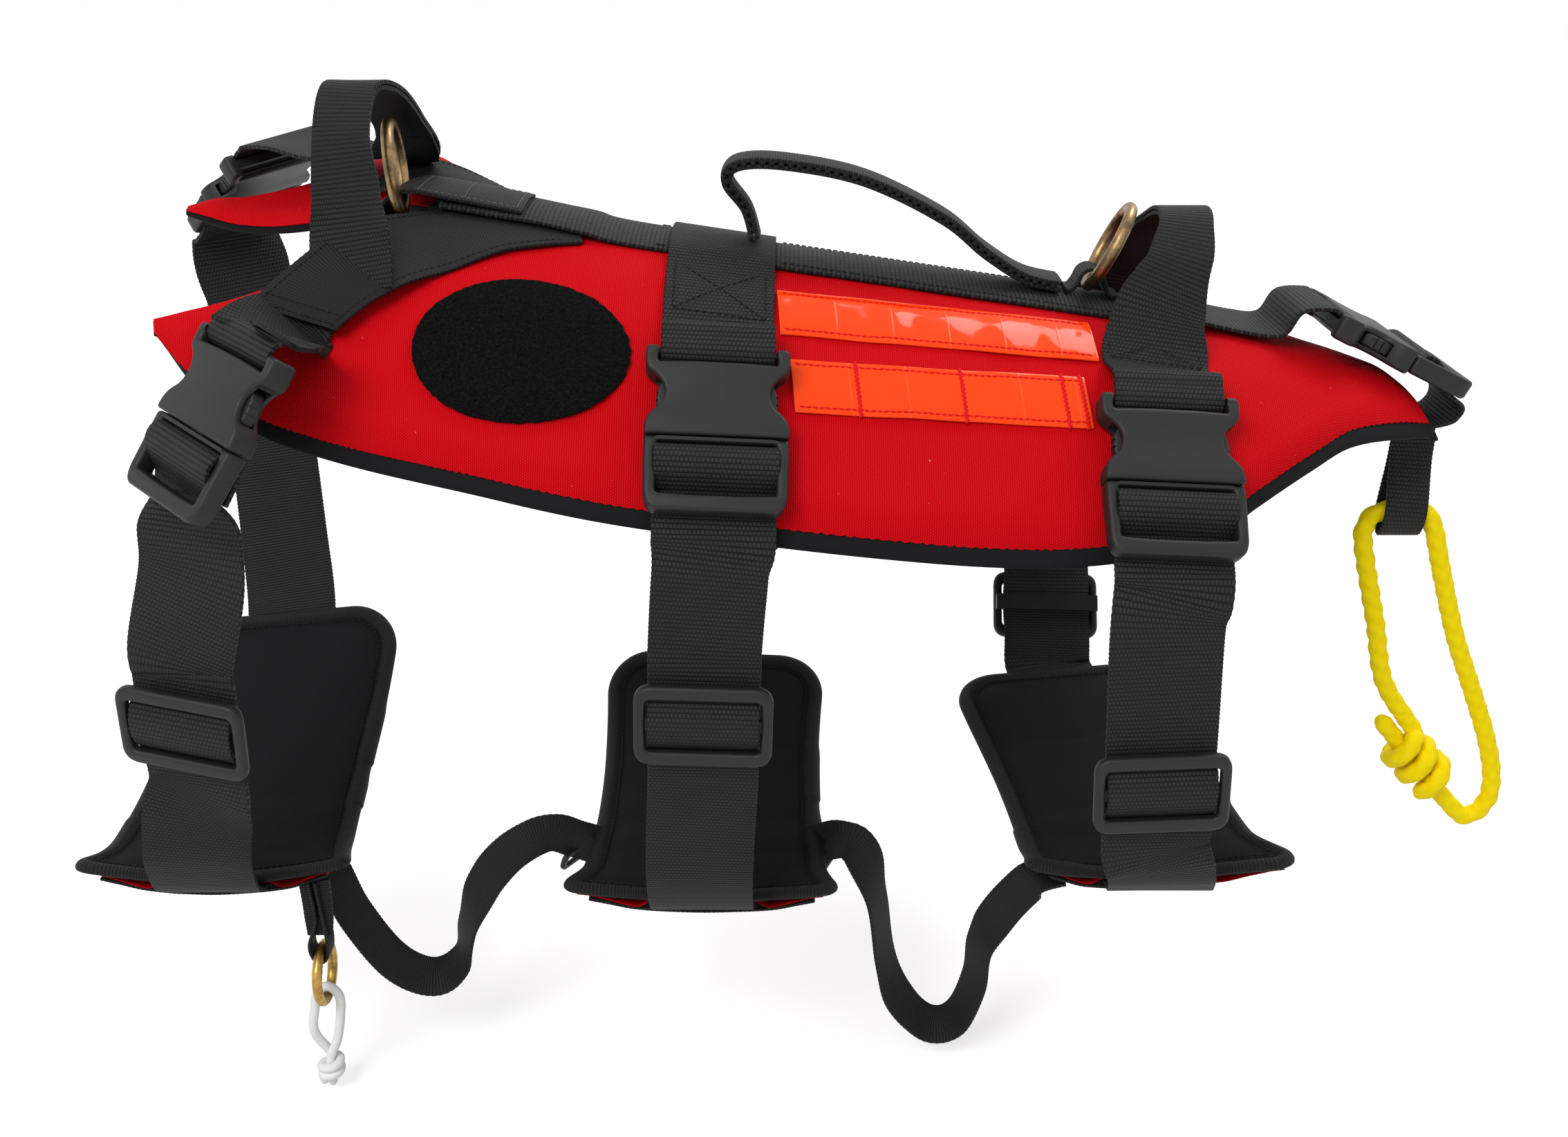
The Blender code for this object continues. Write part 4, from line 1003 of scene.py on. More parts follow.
def add_cover(word, side):
    def where(across, along):
        x = PANEL_FRONT + (PANEL_REAR - PANEL_FRONT) * (0.35 * crowd(along) + 0.65 * along)
        top, low = panel_top(x), panel_low(x)
        share = 0.5 * crowd(across) + 0.5 * across
        pull = PUCKER * math.sin(math.tau * x / PUCKER_PITCH) * ease(1.0 - (low - top) * (1.0 - share) / HEM)
        return x, top + (low - top) * share + pull, top, low

    def place(across, along):
        x, s, top, low = where(across, along)
        edge = min(low - s, x - PANEL_FRONT, PANEL_REAR - x)
        if x < NECK_EDGE[-1][0] * MM:
            edge = min(edge, s - top)
        elif s - top < HEM:
            edge = min(edge, HEM * 0.45 + s - top)
        sunk = TUCK * (1.0 - math.sqrt(min(max(edge, 0.0) / HEM, 1.0)))
        wave = noise.noise(Vector((x * 17.0, s * 24.0, 3.0 * side)))
        wave += 0.5 * noise.noise(Vector((x * 48.0, s * 52.0, 9.0 + side)))
        settle_in = min(wave * 0.9 * MM, 0.2 * MM) - 0.25 * MM
        height = lining_height(x, s) + LAID_GAP + COVER_THICK / 2 - sunk + settle_in
        return drape(x, side * s, height)

    def span(across, along):
        x, s, _, _ = where(across, along)
        return (s, x)

    made = lay_grid(word + "_cover_cloth", 44, 360, place, span)
    settle(made, "SOLIDIFY", thickness=COVER_THICK, offset=0.0, use_even_offset=True)
    dress(made, red_cloth, "red_cloth", "harness", [word + "_cover"], 60)
    long = PANEL_REAR - PANEL_FRONT
    heights = [panel_low(x) - panel_top(x) for x in np.linspace(PANEL_FRONT, PANEL_REAR, 200)]
    area = long * float(np.mean(heights))
    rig.sheet(made, (COVER_DROP, long), "stretched", [word + "_lining_foam"], area=area)
    return area


cover_areas = [round(add_cover(word, side), 4) for word, side in (("left", -1.0), ("right", 1.0))]
print("cover areas", cover_areas, "square metres")

# %% [markdown]
# A side-release buckle is two mouldings: a socket, and a plug with two springy prongs.
# Each is drawn around the middle of the socket's mouth, with y along the strap and z out of the face.
# A flat outline with a rounded edge gives the moulded look at once, and boolean cuts hollow it out.
# The pieces are drawn once and copied to the seven places where the harness is closed.

# %% Where the buckles sit
BUCKLE_THICK, BUCKLE_LIFT = 12 * MM, 0.6 * MM


def on_panel(x, s):
    """Buckle placement lying on a panel with its mouth at pattern place (x, s)."""
    height = COVER_TOP + LAID_GAP + BUCKLE_LIFT + BUCKLE_THICK / 2
    down = drape(x, s * 1.01, height) - drape(x, s * 0.99, height)
    back = drape(x + MM, s, height) - drape(x - MM, s, height)
    face = back.cross(down) if s > 0.0 else down.cross(back)
    return frame_of(drape(x, s, height), down, face)


BUCKLES = {
    "front_left": frame_of(at(-243, -143, -36), at(-46, -35.5, -81), at(-70, -71, 30)),
    "front_right": frame_of(at(-294, 130, 21), at(-57, 61, -54), at(-50, 30, 80)),
    "mid_left": on_panel(-31 * MM, -128 * MM),
    "mid_right": on_panel(-31 * MM, 128 * MM),
    "rear_left": on_panel(170 * MM, -119 * MM),
    "rear_right": on_panel(170 * MM, 119 * MM),
    "tail": frame_of(at(301.7, 0, -36.5), at(89.8, 0, -44), at(44, 0, 89.8)),
}
print(len(BUCKLES), "buckles placed")

# %% [markdown]
# Corners of a moulding are never sharp, so each outline has its corners eased before it gets its thickness.

# %% Moulding tools
def soften(outline, radius, steps=5):
    """The outline (millimetres) with every corner turned into a small curve."""
    made = []
    count = len(outline)
    for index, corner in enumerate(outline):
        here = Vector(corner)
        ends = []
        for other in (outline[index - 1], outline[(index + 1) % count]):
            away = Vector(other) - here
            ends.append(here + away.normalized() * min(radius, away.length * 0.45))
        for step in range(steps + 1):
            t = step / steps
            made.append(tuple(ends[0].lerp(here, t).lerp(here.lerp(ends[1], t), t)))
    return made


def mirrored(half):
    """Closed outline from its right half, listed from one end to the other."""
    return half + [(-x, y) for x, y in reversed(half)]


def moulded(outlines, thick, rounding):
    """Plate with rounded edges from an outline and its holes in millimetres, centred on z = 0."""
    bpy.ops.object.select_all(action="DESELECT")
    bpy.ops.object.add(type="CURVE")
    drawing = bpy.context.object.data
    drawing.dimensions = "2D"
    drawing.fill_mode = "BOTH"
    drawing.bevel_depth = rounding * MM
    drawing.bevel_resolution = 3
    drawing.offset = -rounding * MM
    drawing.extrude = (thick / 2 - rounding) * MM
    for outline in outlines:
        line = drawing.splines.new("POLY")
        line.points.add(len(outline) - 1)
        line.use_cyclic_u = True
        for point, (x, y) in zip(line.points, outline):
            point.co = (x * MM, y * MM, 0.0, 1.0)
    bpy.ops.object.convert(target="MESH")
    made = bpy.context.object
    weld_seam(made, 0.01 * MM, False)
    return made


def block(low, high):
    """Box between two corners in millimetres."""
    bpy.ops.object.select_all(action="DESELECT")
    middle = [(a + b) / 2 * MM for a, b in zip(low, high)]
    bpy.ops.mesh.primitive_cube_add(size=1.0, location=middle)
    made = bpy.context.object
    made.scale = [(b - a) * MM for a, b in zip(low, high)]
    bpy.ops.object.transform_apply(location=True, rotation=True, scale=True)
    return made


def cut(piece, tool, operation="DIFFERENCE"):
    settle(piece, "BOOLEAN", operation=operation, solver="EXACT", object=tool)
    bpy.data.objects.remove(tool, do_unlink=True)


def put(pattern, name, matrix):
    """A copy of a finished pattern with its own mesh, moved to its place."""
    made = bpy.data.objects.new(name, pattern.data.copy())
    bpy.context.scene.collection.objects.link(made)
    made.data.name = name
    made.data.transform(matrix)
    if matrix.to_3x3().determinant() < 0.0:
        made.data.flip_normals()
    return made


def dress_plastic(piece, body, replaced=()):
    dress(piece, plastic, "grey_plastic", body, replaced, 35)


print("moulding tools ready")

# %% [markdown]
# The socket has two ears with a bar between them for the webbing, and a scoop on each side for the fingers.
# Inside is a flat hollow, open at the mouth and at both scoops, where the prongs lie.

# %% Buckle sockets
socket_half = [(30.2, -42), (31.6, -40.5), (31.6, -33.5), (30.6, -30.6), (27.4, -28.4), (24.8, -25.6)]
socket_half += [(23.3, -22.5), (23.0, -19.5), (23.6, -16.5), (25.2, -13.6), (28.2, -11.0), (30.4, -8.2)]
socket_half += [(31.5, -4.5), (31.6, -0.2)]
slot_hole = [(26.2, -38.6), (-26.2, -38.6), (-26.2, -34.2), (-10, -34.9), (10, -34.9), (26.2, -34.2)]
socket = moulded([soften(mirrored(socket_half), 1.6), soften(slot_hole, 1.2)], 12.4, 1.7)
cut(socket, block((-27.4, -28, -3.5), (27.4, 3, 3.5)))
cut(socket, block((-26.2, -45, 2.2), (26.2, -38.55, 9)))
cut(socket, block((-26.2, -45, -9), (26.2, -38.55, -2.2)))
for word, matrix in BUCKLES.items():
    dress_plastic(put(socket, word + "_buckle_socket", matrix), "harness", [word + "_socket"])
bpy.data.objects.remove(socket, do_unlink=True)
print("sockets moulded")

# %% [markdown]
# The plug is a frame with a bar for the webbing and a guide tongue between the prongs.
# On the dog's left the prongs are pieces of their own, because they are squeezed to open the buckle.

# %% Buckle plugs and prongs
PRONG_HINGE = 18
plug_half = [(31.4, 0.3), (31.5, 8), (31.0, 27.0), (29.6, 31.6), (26.5, 34.0)]
window = [(26.0, 2.6), (-26.0, 2.6), (-26.0, 26.2), (-12, 26.8), (12, 26.8), (26.0, 26.2)]
plug = moulded([soften(mirrored(plug_half), 1.8), soften(window, 1.4)], 9.6, 1.9)
cut(plug, block((-27, 9, -4.4), (27, 13.6, -0.2)), "UNION")
cut(plug, block((-5, -20, -2.6), (5, 2, 2.6)), "UNION")
cut(plug, block((-24.6, 26.9, -6), (24.6, 31.0, -1.0)))
prong_line = [(20, 0), (21.6, -4), (24.4, -8.5), (26.1, -12.5), (26.6, -17), (26.2, -22), (24.4, -25.6)]
prong_line += [(21.6, -26.6), (17.8, -24.4), (17.0, -18), (16.4, -9), (16, 0)]
prong = moulded([soften([(x - PRONG_HINGE, y) for x, y in prong_line], 1.2)], 6.2, 1.3)
for y in (-20.0, -16.5, -13.0):
    cut(prong, block((25.7 - PRONG_HINGE, y - 0.45, -4), (28 - PRONG_HINGE, y + 0.45, 4)))
hinge = Matrix.Translation(at(PRONG_HINGE, 0, 0))
flip = Matrix.Rotation(math.pi, 4, "Y")
for word, matrix in BUCKLES.items():
    dress_plastic(put(plug, word + "_buckle_plug", matrix), word + "_plug", [word + "_plug"])
    for letter, turn in (("a", hinge), ("b", flip @ hinge)):
        arm = put(prong, word + "_prong_arm_" + letter, matrix @ turn)
        if word.endswith("_left"):
            node = word + "_prong_" + letter
            dress_plastic(arm, node, [node])
        else:
            dress_plastic(arm, word + "_plug")
for pattern in (plug, prong):
    bpy.data.objects.remove(pattern, do_unlink=True)
print("plugs and prongs moulded")

# %% [markdown]
# The strap adjusters are plain frames with a bar across the middle, and their edges are very round.
# The webbing goes behind the two rails and over the bar.
# Those on the far side also show an inner bar on two posts, behind the strap.

# %% Adjusters
ADJUSTERS = {
    "front_left": ((-268, -148, -174), (-4, 10, -90), (-25, -100, 0)),
    "front_right": ((-308, 150, -80), (4, -10, -100), (0, 100, 0)),
    "mid_left": ((-36, -147, -171), (-3, 5, -90), (0, -100, 0)),
    "mid_right": ((-32, 128, -173), (-4, -22, -60), (0, 93, -36)),
    "rear_left": ((172, -144, -207), (4, 4, -90), (0, -100, 0)),
    "rear_right": ((157, 115, -225), (-2, -46, -63), (0, 81, -59)),
}
SLIDERS = {word: frame_of(*(at(*part) for part in parts)) for word, parts in ADJUSTERS.items()}
outside = [(31, -20), (31, 20), (-31, 20), (-31, -20)]
inside_edge = [(26, -13.2), (26, 13.2), (-26, 13.2), (-26, -13.2)]
adjuster = moulded([soften(outside, 8.5, 8), soften(inside_edge, 3.0, 6)], 5.4, 1.9)
cut(adjuster, block((-27, -3, -2.5), (27, 3, 0.4)), "UNION")
far_adjuster = put(adjuster, "far_adjuster", Matrix.Identity(4))
inner_bar, post = ((-30, -4.6, -9.5), (30, 4.6, -7.4)), ((26.4, -4, -8.4), (30, 4, 0))
other_post = ((-30, -4, -8.4), (-26.4, 4, 0))
for low, high in (inner_bar, post, other_post):
    cut(far_adjuster, block(low, high), "UNION")
for word, matrix in SLIDERS.items():
    made = put(far_adjuster if "right" in word else adjuster, word + "_adjuster", matrix)
    dress_plastic(made, word + "_slider", [word + "_slider"])
bpy.data.objects.remove(adjuster, do_unlink=True)
bpy.data.objects.remove(far_adjuster, do_unlink=True)
print(len(SLIDERS), "adjusters moulded")

# %% [markdown]
# Webbing is woven with a heavy rib, and its edge shows a small bump at each turn of the yarn.
# A strap is a narrow grid laid along its route, thickened, and eased along its edges.
# The rows are spaced by half a rib, so the bumps come out in the shape and not only in the finish.

# %% Webbing
RIB = 2.2 * MM


def even_rows(rows, pitch):
    """The rows of a route again, a pitch apart."""
    walked = lengths_along([row[0] for row in rows])
    count = max(round(walked[-1] / pitch), 2)
    wanted = np.linspace(0.0, walked[-1], count + 1)
    table = np.array([[*row[0], *row[1], *row[2]] for row in rows])
    columns = [np.interp(wanted, walked, table[:, index]) for index in range(9)]
    made = []
    for line in zip(*columns):
        made.append((Vector(line[0:3]), Vector(line[3:6]), Vector(line[6:9]).normalized()))
    return made, walked[-1]


def bump(index, across, size):
    """Edge bump of a woven selvedge, for the outer column of each second row."""
    return size if (across in (0.0, 1.0) and index % 2) else 0.0


def thicken(piece, thick, edge=0.6 * MM):
    settle(piece, "SOLIDIFY", thickness=thick, offset=0.0)
    width = min(edge, 0.45 * thick)
    settle(piece, "BEVEL", width=width, segments=2, limit_method="ANGLE", angle_limit=math.radians(50))


def webbing(name, knots, steps=8, thick=WEBBING_THICK, bumps=0.3 * MM, lift=None, start=0, stop=None):
    """Strap along its knots; lift(across, walked) moves it off its route, start and stop pick knots."""
    rows = lay_out(knots, steps)
    rows = rows[start * steps:None if stop is None else stop * steps + 1]
    rows, length = even_rows(rows, RIB / 2)
    last = len(rows) - 1
    wide = max(row[1].length for row in rows)

    def place(across, along):
        index = round(along * last)
        point, width, ahead = rows[index]
        half = (across - 0.5) * (1.0 + 2.0 * bump(index, round(across, 6), bumps) / wide)
        place_at = point + width * half
        if lift is not None:
            place_at += width.cross(ahead).normalized() * lift(across, along * length)
        return place_at

    made = lay_grid(name, 6, last, place, lambda across, along: ((across - 0.5) * wide, along * length))
    thicken(made, thick)
    return made


SKEWED = 45 * MM


def skew(across, past, slant):
    """How far a point moves ahead where a strap ends askew; past is below zero before the end."""
    return slant * (0.5 - across) * ease((past + SKEWED) / SKEWED)


def flat_rows(knots, pitch):
    """Rows of a strap on the flat pattern, with its length; each knot is (pattern place, height, width)."""
    flat = [(Vector((place.x, place.y, height)), NORTH, width) for place, height, width in knots]
    return even_rows(lay_out(flat, 10), pitch)


def beside(width, ahead):
    """Width vector of a strap on the flat pattern."""
    return Vector((-ahead.y, ahead.x, 0.0)).normalized() * width.length


def strap(name, knots, finish, replaced=(), **ways):
    """Webbing that the harness carries; the ways are those of the webbing itself."""
    return dress(webbing(name, knots, **ways), finish, "black_webbing", "harness", replaced)


def laid_webbing(name, knots, thick, columns=8, bumps=0.3 * MM, slant=0.0):
    """Strap lying on the panels; slant skews its far end."""
    rows, length = flat_rows(knots, RIB / 2)
    last = len(rows) - 1
    wide = max(row[1].length for row in rows)

    def place(across, along):
        index = round(along * last)
        point, width, ahead = rows[index]
        half = (across - 0.5) * (1.0 + 2.0 * bump(index, round(across, 6), bumps) / wide)
        spot_at = point + beside(width, ahead) * half
        spot_at += ahead * skew(across, along * length - length, slant)
        return drape(*spot_at)

    made = lay_grid(name, columns, last, place, lambda across, along: ((across - 0.5) * wide, along * length))
    thicken(made, thick)
    return made


def local_knots(matrix, path, hint, width=WEBBING_WIDTH):
    """Knots from a path in a fitting's own y and z; the width runs along its x."""
    across = matrix.to_3x3() @ Vector((1.0, 0.0, 0.0))
    if across.dot(hint) < 0.0:
        across = -across
    return [(matrix @ at(0, y, z), across, width) for y, z in path]


SOCKET_END = [(-54, 3.4), (-47, 4.6), (-42.5, 4.9), (-38.8, 3.9), (-36.2, 0.9), (-35.7, -4.2)]
PLUG_END = [(4.2, -4.6), (3.6, -1.0), (4.6, 3.4), (8.0, 6.0), (12.6, 5.8), (16.8, 3.4), (20.4, -1.2)]
PLUG_END += [(24, -5.2), (31, -6.4), (38, -6.5), (46, -9)]
IN_PLUG = 53.6 * MM
print("webbing tools ready")

# %% [markdown]
# Two saddle straps go over the back from buckle to buckle. The mid strap lies flat over the spine webbing.
# The rear strap stands up in a hand loop: it narrows as it is folded in half, with a second layer inside.

# %% Saddle straps
LIFTED = LAID + MM
GRIP, FOLD_GAP, FOLD_NARROW = 25, 2.5 * MM, 0.97


def socket_tail(word):
    return local_knots(BUCKLES[word], SOCKET_END, EAST)


mid_knots = list(reversed(socket_tail("mid_left")))
mid_back = [(-72, LIFTED), (-62, LAID), (-50, LAID), (-38, LAID)]
mid_back += [(-25, LAID_OVER), (-12, LAID_OVER), (0, LAID_OVER)]
mid_back += [(-s, h) for s, h in reversed(mid_back[:-1])]
mid_knots += [laid_knot(-31, s, h) for s, h in mid_back] + socket_tail("mid_right")
strap("mid_saddle_webbing", mid_knots, heavy_webbing, ["mid_saddle_strap"])

rear_knots = list(reversed(socket_tail("rear_left")))
rear_knots += [laid_knot(170, -58, LIFTED), laid_knot(171, -48, LIFTED), free_knot(176, -41, -9, 43)]
rear_loop = [free_knot(186, -30, 14, 30), free_knot(191, -14, 29, GRIP), free_knot(192, 4, 32, GRIP)]
rear_loop += [free_knot(190, 22, 25, GRIP), free_knot(184, 33, 10, 31)]
rear_knots += rear_loop + [free_knot(176, 41, -9, 43), laid_knot(171, 48, LIFTED), laid_knot(170, 58, LIFTED)]
rear_knots += socket_tail("rear_right")
strap("rear_saddle_webbing", rear_knots, heavy_webbing, ["rear_saddle_strap"])


def second_layer(name, knots, start, stop):
    """Inner layer of a folded hand loop, just inside the outer one."""
    inner = []
    rows = lay_out(knots, 4)[start * 4:stop * 4 + 1]
    middle = sum((row[0] for row in rows), Vector()) / len(rows)
    for index, (point, width, ahead) in enumerate(rows[::2]):
        out = width.cross(ahead).normalized()
        if out.dot(middle - point) < 0.0:
            out = -out
        share = index / (len(rows[::2]) - 1)
        away = FOLD_GAP * ease(min(share, 1.0 - share) / 0.12)
        inner.append((point + out * away, width.normalized(), width.length * FOLD_NARROW))
    strap(name, inner, fine_webbing, steps=4)


first = rear_knots.index(rear_loop[0])
second_layer("rear_loop_inner_fold", rear_knots, first - 1, first + len(rear_loop))
print("saddle straps laid")

# %% [markdown]
# The front strap stands up in a grab loop over the neck and goes on to the far buckle.
# Its near end is sewn down under the yoke band, and a short strap comes out from there to the near buckle.
# The loop is folded to half its width at the top, like the rear loop.

# %% Front grab loop
NEAR_BAND = (drape(-0.21, -0.083, LAID) - drape(-0.216, -0.076, LAID)).normalized()
NEAR_LEG, FAR_BAND = Vector((0.9, -0.3, -0.1)), Vector((0.8, 0.6, 0.0))
near_end = [(-49.5, -4.5), (-48.8, 0.6), (-46.4, 4.0)] + SOCKET_END[2:]
near_knots = list(reversed(local_knots(BUCKLES["front_left"], near_end, EAST)))
near_laid = [(-227, -91, LAID + 2 * MM, 40), (-217, -82, LAID + MM, 30), (-206, -72, LAID, 26)]
near_knots += [laid_knot(x, s, high, wide * MM, NEAR_BAND) for x, s, high, wide in near_laid]
strap("front_near_webbing", near_knots, heavy_webbing, ["front_grab_loop"])

loop_knots = [laid_knot(-199, -75, LAID_OVER, 38 * MM, NEAR_LEG)]
loop_knots += [laid_knot(-199, -69, LAID_OVER + MM, 39 * MM, NEAR_LEG)]
loop_knots += [free_knot(-193.5, -66.5, 31, 38, NEAR_LEG)]
loop_grip = [free_knot(-195, -59, 50, 30), free_knot(-198, -46, 74, GRIP), free_knot(-197, -26, 92, GRIP)]
loop_grip += [free_knot(-191, -2, 88, GRIP), free_knot(-187, 22, 72, GRIP), free_knot(-187, 38, 56, 32)]
loop_knots += loop_grip + [free_knot(-198, 48, 50, 42, FAR_BAND), free_knot(-222, 60, 50, hint=FAR_BAND)]
loop_knots += [free_knot(-244, 78, 52, hint=FAR_BAND)] + socket_tail("front_right")
strap("front_grab_webbing", loop_knots, heavy_webbing, ["front_grab_loop"])
first = loop_knots.index(loop_grip[0])
second_layer("front_loop_inner_fold", loop_knots, first, first + len(loop_grip))
print("grab loop laid")

# %% [markdown]
# The spine webbing covers the seam between the two panels, and two yoke straps spread from it to the sides.
# The left yoke goes on as a band over the foot of the grab loop, and ends in a folded hem near the buckle.
# A thin fan of webbing fills the fork between the two yokes.

# %% Spine and yokes
OVER_YOKE = LAID_OVER + 2 * MM
spine_knots = [(spot(-164, 1), LAID_OVER + MM, 38 * MM), (spot(-125, 0), LAID_OVER + MM, 45 * MM)]
spine_knots += [(spot(-96, 0), LAID_OVER, WEBBING_WIDTH), (spot(-70, 0), LAID, WEBBING_WIDTH)]
spine_knots += [(spot(50, 0), LAID, WEBBING_WIDTH), (spot(166, 0), LAID, WEBBING_WIDTH)]
made = laid_webbing("spine_strap", spine_knots, WEBBING_THICK)
dress(made, heavy_webbing, "black_webbing", "harness", ["spine_webbing"])

YOKE_SLANTS, YOKES = {"left": 24 * MM, "right": 0.0}, {}
band_lift = OVER_YOKE + 1.2 * MM
for word, side, spread, lifted in (("left", -1, 0, LAID), ("right", 1, 5, LAID + MM)):
    yoke_knots = [(spot(-99, side * 15.5), LAID, 29 * MM), (spot(-130, side * 24), LAID + 0.4 * MM, 36 * MM)]
    yoke_knots += [(spot(-165, side * (40 + spread)), lifted, 44 * MM)]
    if word == "right":
        yoke_knots += [(spot(-194, side * (57 + spread)), lifted, 46 * MM)]
    else:
        yoke_knots += [(spot(-190, -57.5), band_lift, 41 * MM), (spot(-208, -72.5), band_lift, 38 * MM)]
        yoke_knots += [(spot(-227, -89.5), OVER_YOKE, 37 * MM)]
    YOKES[word] = yoke_knots
    made = laid_webbing(word + "_yoke_strap", yoke_knots, WEBBING_THICK, slant=YOKE_SLANTS[word])
    dress(made, fine_webbing, "black_webbing", "harness", [word + "_yoke"])
FAN_HEIGHT, FAN_THICK = LAID - 0.4 * MM, 1.1 * MM
fan = ((-104, 0, 20), (-140, 1, 52), (-158, 1, 66), (-168, 2, 74))
fan_knots = [(spot(x, s), FAN_HEIGHT, wide * MM) for x, s, wide in fan]
made = laid_webbing("yoke_middle", fan_knots, FAN_THICK, columns=16, bumps=0.0)
dress(made, fine_webbing, "black_webbing", "harness")
print("spine and yokes laid")

# %% [markdown]
# Each girth strap runs from the left plug through an adjuster, under the belly and up to the right plug.
# It is made in four lengths: the upper two give when a plug is drawn out, the lower two meet under the pad.
# Behind an adjuster the strap lies flat; the hump over the bar is a short piece that slides with it.

# %% Girth straps
TURNED = Vector((0.96, -0.28, 0.0))
GIRTHS = {
    "front": (
        [(-251.5, -151, -79, 50, TURNED), (-253.5, -151, -100, 50, TURNED)],
        [(-273.4, -134.1, -230.6), (-277, -130, -255), (-280, -108, -281), (-282, -60, -281),
         (-283, -5, -270), (-284, 45, -249), (-287, 85, -218), (-296, 116, -180), (-303, 136, -132)],
        []),
    "mid": (
        [(-32, -147, -100)],
        [(-38.7, -137.1, -230.5), (-40, -132, -262), (-40, -108, -291), (-40, -60, -292), (-40, -5, -284),
         (-40, 45, -268), (-39, 82, -243), (-36, 99.7, -220)],
        [(-31, 147, -100)]),
    "rear": (
        [(168, -143, -126)],
        [(177.6, -133.7, -254.4), (181, -124, -268), (184, -102, -282), (180, -58, -282), (172, -5, -274),
         (163, 45, -262), (158.2, 79.1, -254.5)],
        [(161, 136.1, -173.7), (165, 142, -140), (167, 144, -122)]),
}
BEHIND = -6.0
FLAT_PASS = [(y, BEHIND) for y in (-36, -24, -12, 0, 12, 24, 36)]
HUMP = [(-14.5, -3.4), (-12.6, -2.5), (-9.5, 0.2), (-5, 1.9), (0, 2.3), (5, 1.7), (9.5, -0.2), (12.4, -2.6)]
HUMP += [(14.5, -3.4)]


def girth_knots(word):
    """All knots of one girth strap, with the number of the first knot under the belly."""
    left, under, right = GIRTHS[word]
    hanging = PLUG_END
    if word == "front":
        hanging = [(22, -8.8), (13, -8.4), (6.5, -7.4)] + PLUG_END[:-3] + [(26, -6.6)]
    knots = local_knots(BUCKLES[word + "_left"], hanging, EAST, IN_PLUG)
    knots += [free_knot(*point) for point in left]
    knots += local_knots(SLIDERS[word + "_left"], FLAT_PASS, EAST)
    first = len(knots)
    knots += [free_knot(*point) for point in under]
    knots += list(reversed(local_knots(SLIDERS[word + "_right"], FLAT_PASS, EAST)))
    knots += [free_knot(*point) for point in right]
    return knots + list(reversed(local_knots(BUCKLES[word + "_right"], PLUG_END, EAST, IN_PLUG))), first


for word in GIRTHS:
    knots, first = girth_knots(word)
    last = len(knots) - 1
    under_count = len(GIRTHS[word][1])
    far_slider = first + under_count + 3
    for side, upper, lower in (("left", (0, first - 4), (first - 4, first + 4)),
                               ("right", (far_slider, last), (first + 4, far_slider))):
        plug_at, slider_at = BUCKLES[f"{word}_{side}"], SLIDERS[f"{word}_{side}"]
        made = webbing(f"{word}_{side}_girth_webbing", knots, start=upper[0], stop=upper[1])
        dress(made, heavy_webbing, "black_webbing", None, [word + "_girth_strap"])
        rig.blend(made, f"{word}_{side}_plug", "harness",
                 plug_at @ at(0, 46, 0), slider_at @ at(0, -34, BEHIND))
        strap(f"{word}_{side}_belly_webbing", knots,
              soft_webbing, [word + "_girth_strap"], start=lower[0], stop=lower[1])
        hump = webbing(f"{word}_{side}_adjuster_hump", local_knots(slider_at, HUMP, EAST, 49.6 * MM), 6)
        dress(hump, heavy_webbing, "black_webbing", f"{word}_{side}_slider")
print("girth straps laid")

# %% [markdown]
# The rings hang in short webbing tabs. The front tab is sewn flat on the spine and narrows to hold its ring.

# %% Ring tabs
TAB = 17
front_tab = [(-122, 36.4, 46), (-140, 40.0, 46), (-158, 43.2, 46), (-172, 43.8, 43), (-183, 41.8, 36)]
front_tab += [(-190.8, 35, 31), (-189, 28.6, 30), (-181, 26.2, 30), (-172, 26.2, 30)]
front_tab_knots = [free_knot(x, 0, z, width, NORTH) for x, z, width in front_tab]


def tab_sag(across, walked):
    """The tab follows the rounded back where it is sewn down, and lies straight in the ring."""
    return -2.5 * MM * (2.0 * across - 1.0) ** 2 * ease((56 * MM - walked) / (24 * MM))


strap("front_ring_holder", front_tab_knots, fine_webbing, ["front_ring_tab"], lift=tab_sag)
rear_tab = [(136.4, -5.6), (139.5, -5.9), (142.2, -2.6), (144.6, 2.2), (148.8, 4.2), (153.4, 2.2)]
rear_tab += [(156, -3.6), (157.7, -8), (163, -9.4)]
strap("rear_ring_holder", [free_knot(x, 0, z, TAB, NORTH) for x, z in rear_tab],
      fine_webbing, ["rear_ring_tab"])
print("ring tabs laid")

# %% [markdown]
# Narrow link straps hang in slack curves between the belly pads, and a small tab holds the belly ring.

# %% Belly links
LINK_TURN, LINK = Vector((0.45, 0.9, 0.0)), 20
LINK_THICK, LINK_EDGE = 1.6 * MM, 0.2 * MM
front_link = [((-243, -78, -282.8), (0.5, 0.85, 0.2)), ((-231, -79, -287), (0.5, 0.8, 0.3))]
front_link += [((-220, -82, -312), (0.5, 0.8, 0.3)), ((-202, -82, -341), (0.35, 0.8, 0.5))]
front_link += [((-183, -79, -353), (0.0, 0.72, 0.7)), ((-169, -75, -345), (-0.3, 0.85, 0.4))]
front_link += [((-165, -72, -326), (-0.5, 0.85, 0.1)), ((-156, -69, -304), (-0.7, 0.5, 0.4))]
front_link += [((-144, -66, -288.6), (-0.7, 0.2, 0.7)), ((-130, -62, -280), (-0.35, 0.15, 0.9))]
front_link += [((-119, -57, -279.5), (0.1, 0.15, 1.0)), ((-109, -52, -286), (0.2, 0.15, 1.0))]
front_link += [((-98, -47, -293), (0.2, 0.3, 0.9))]
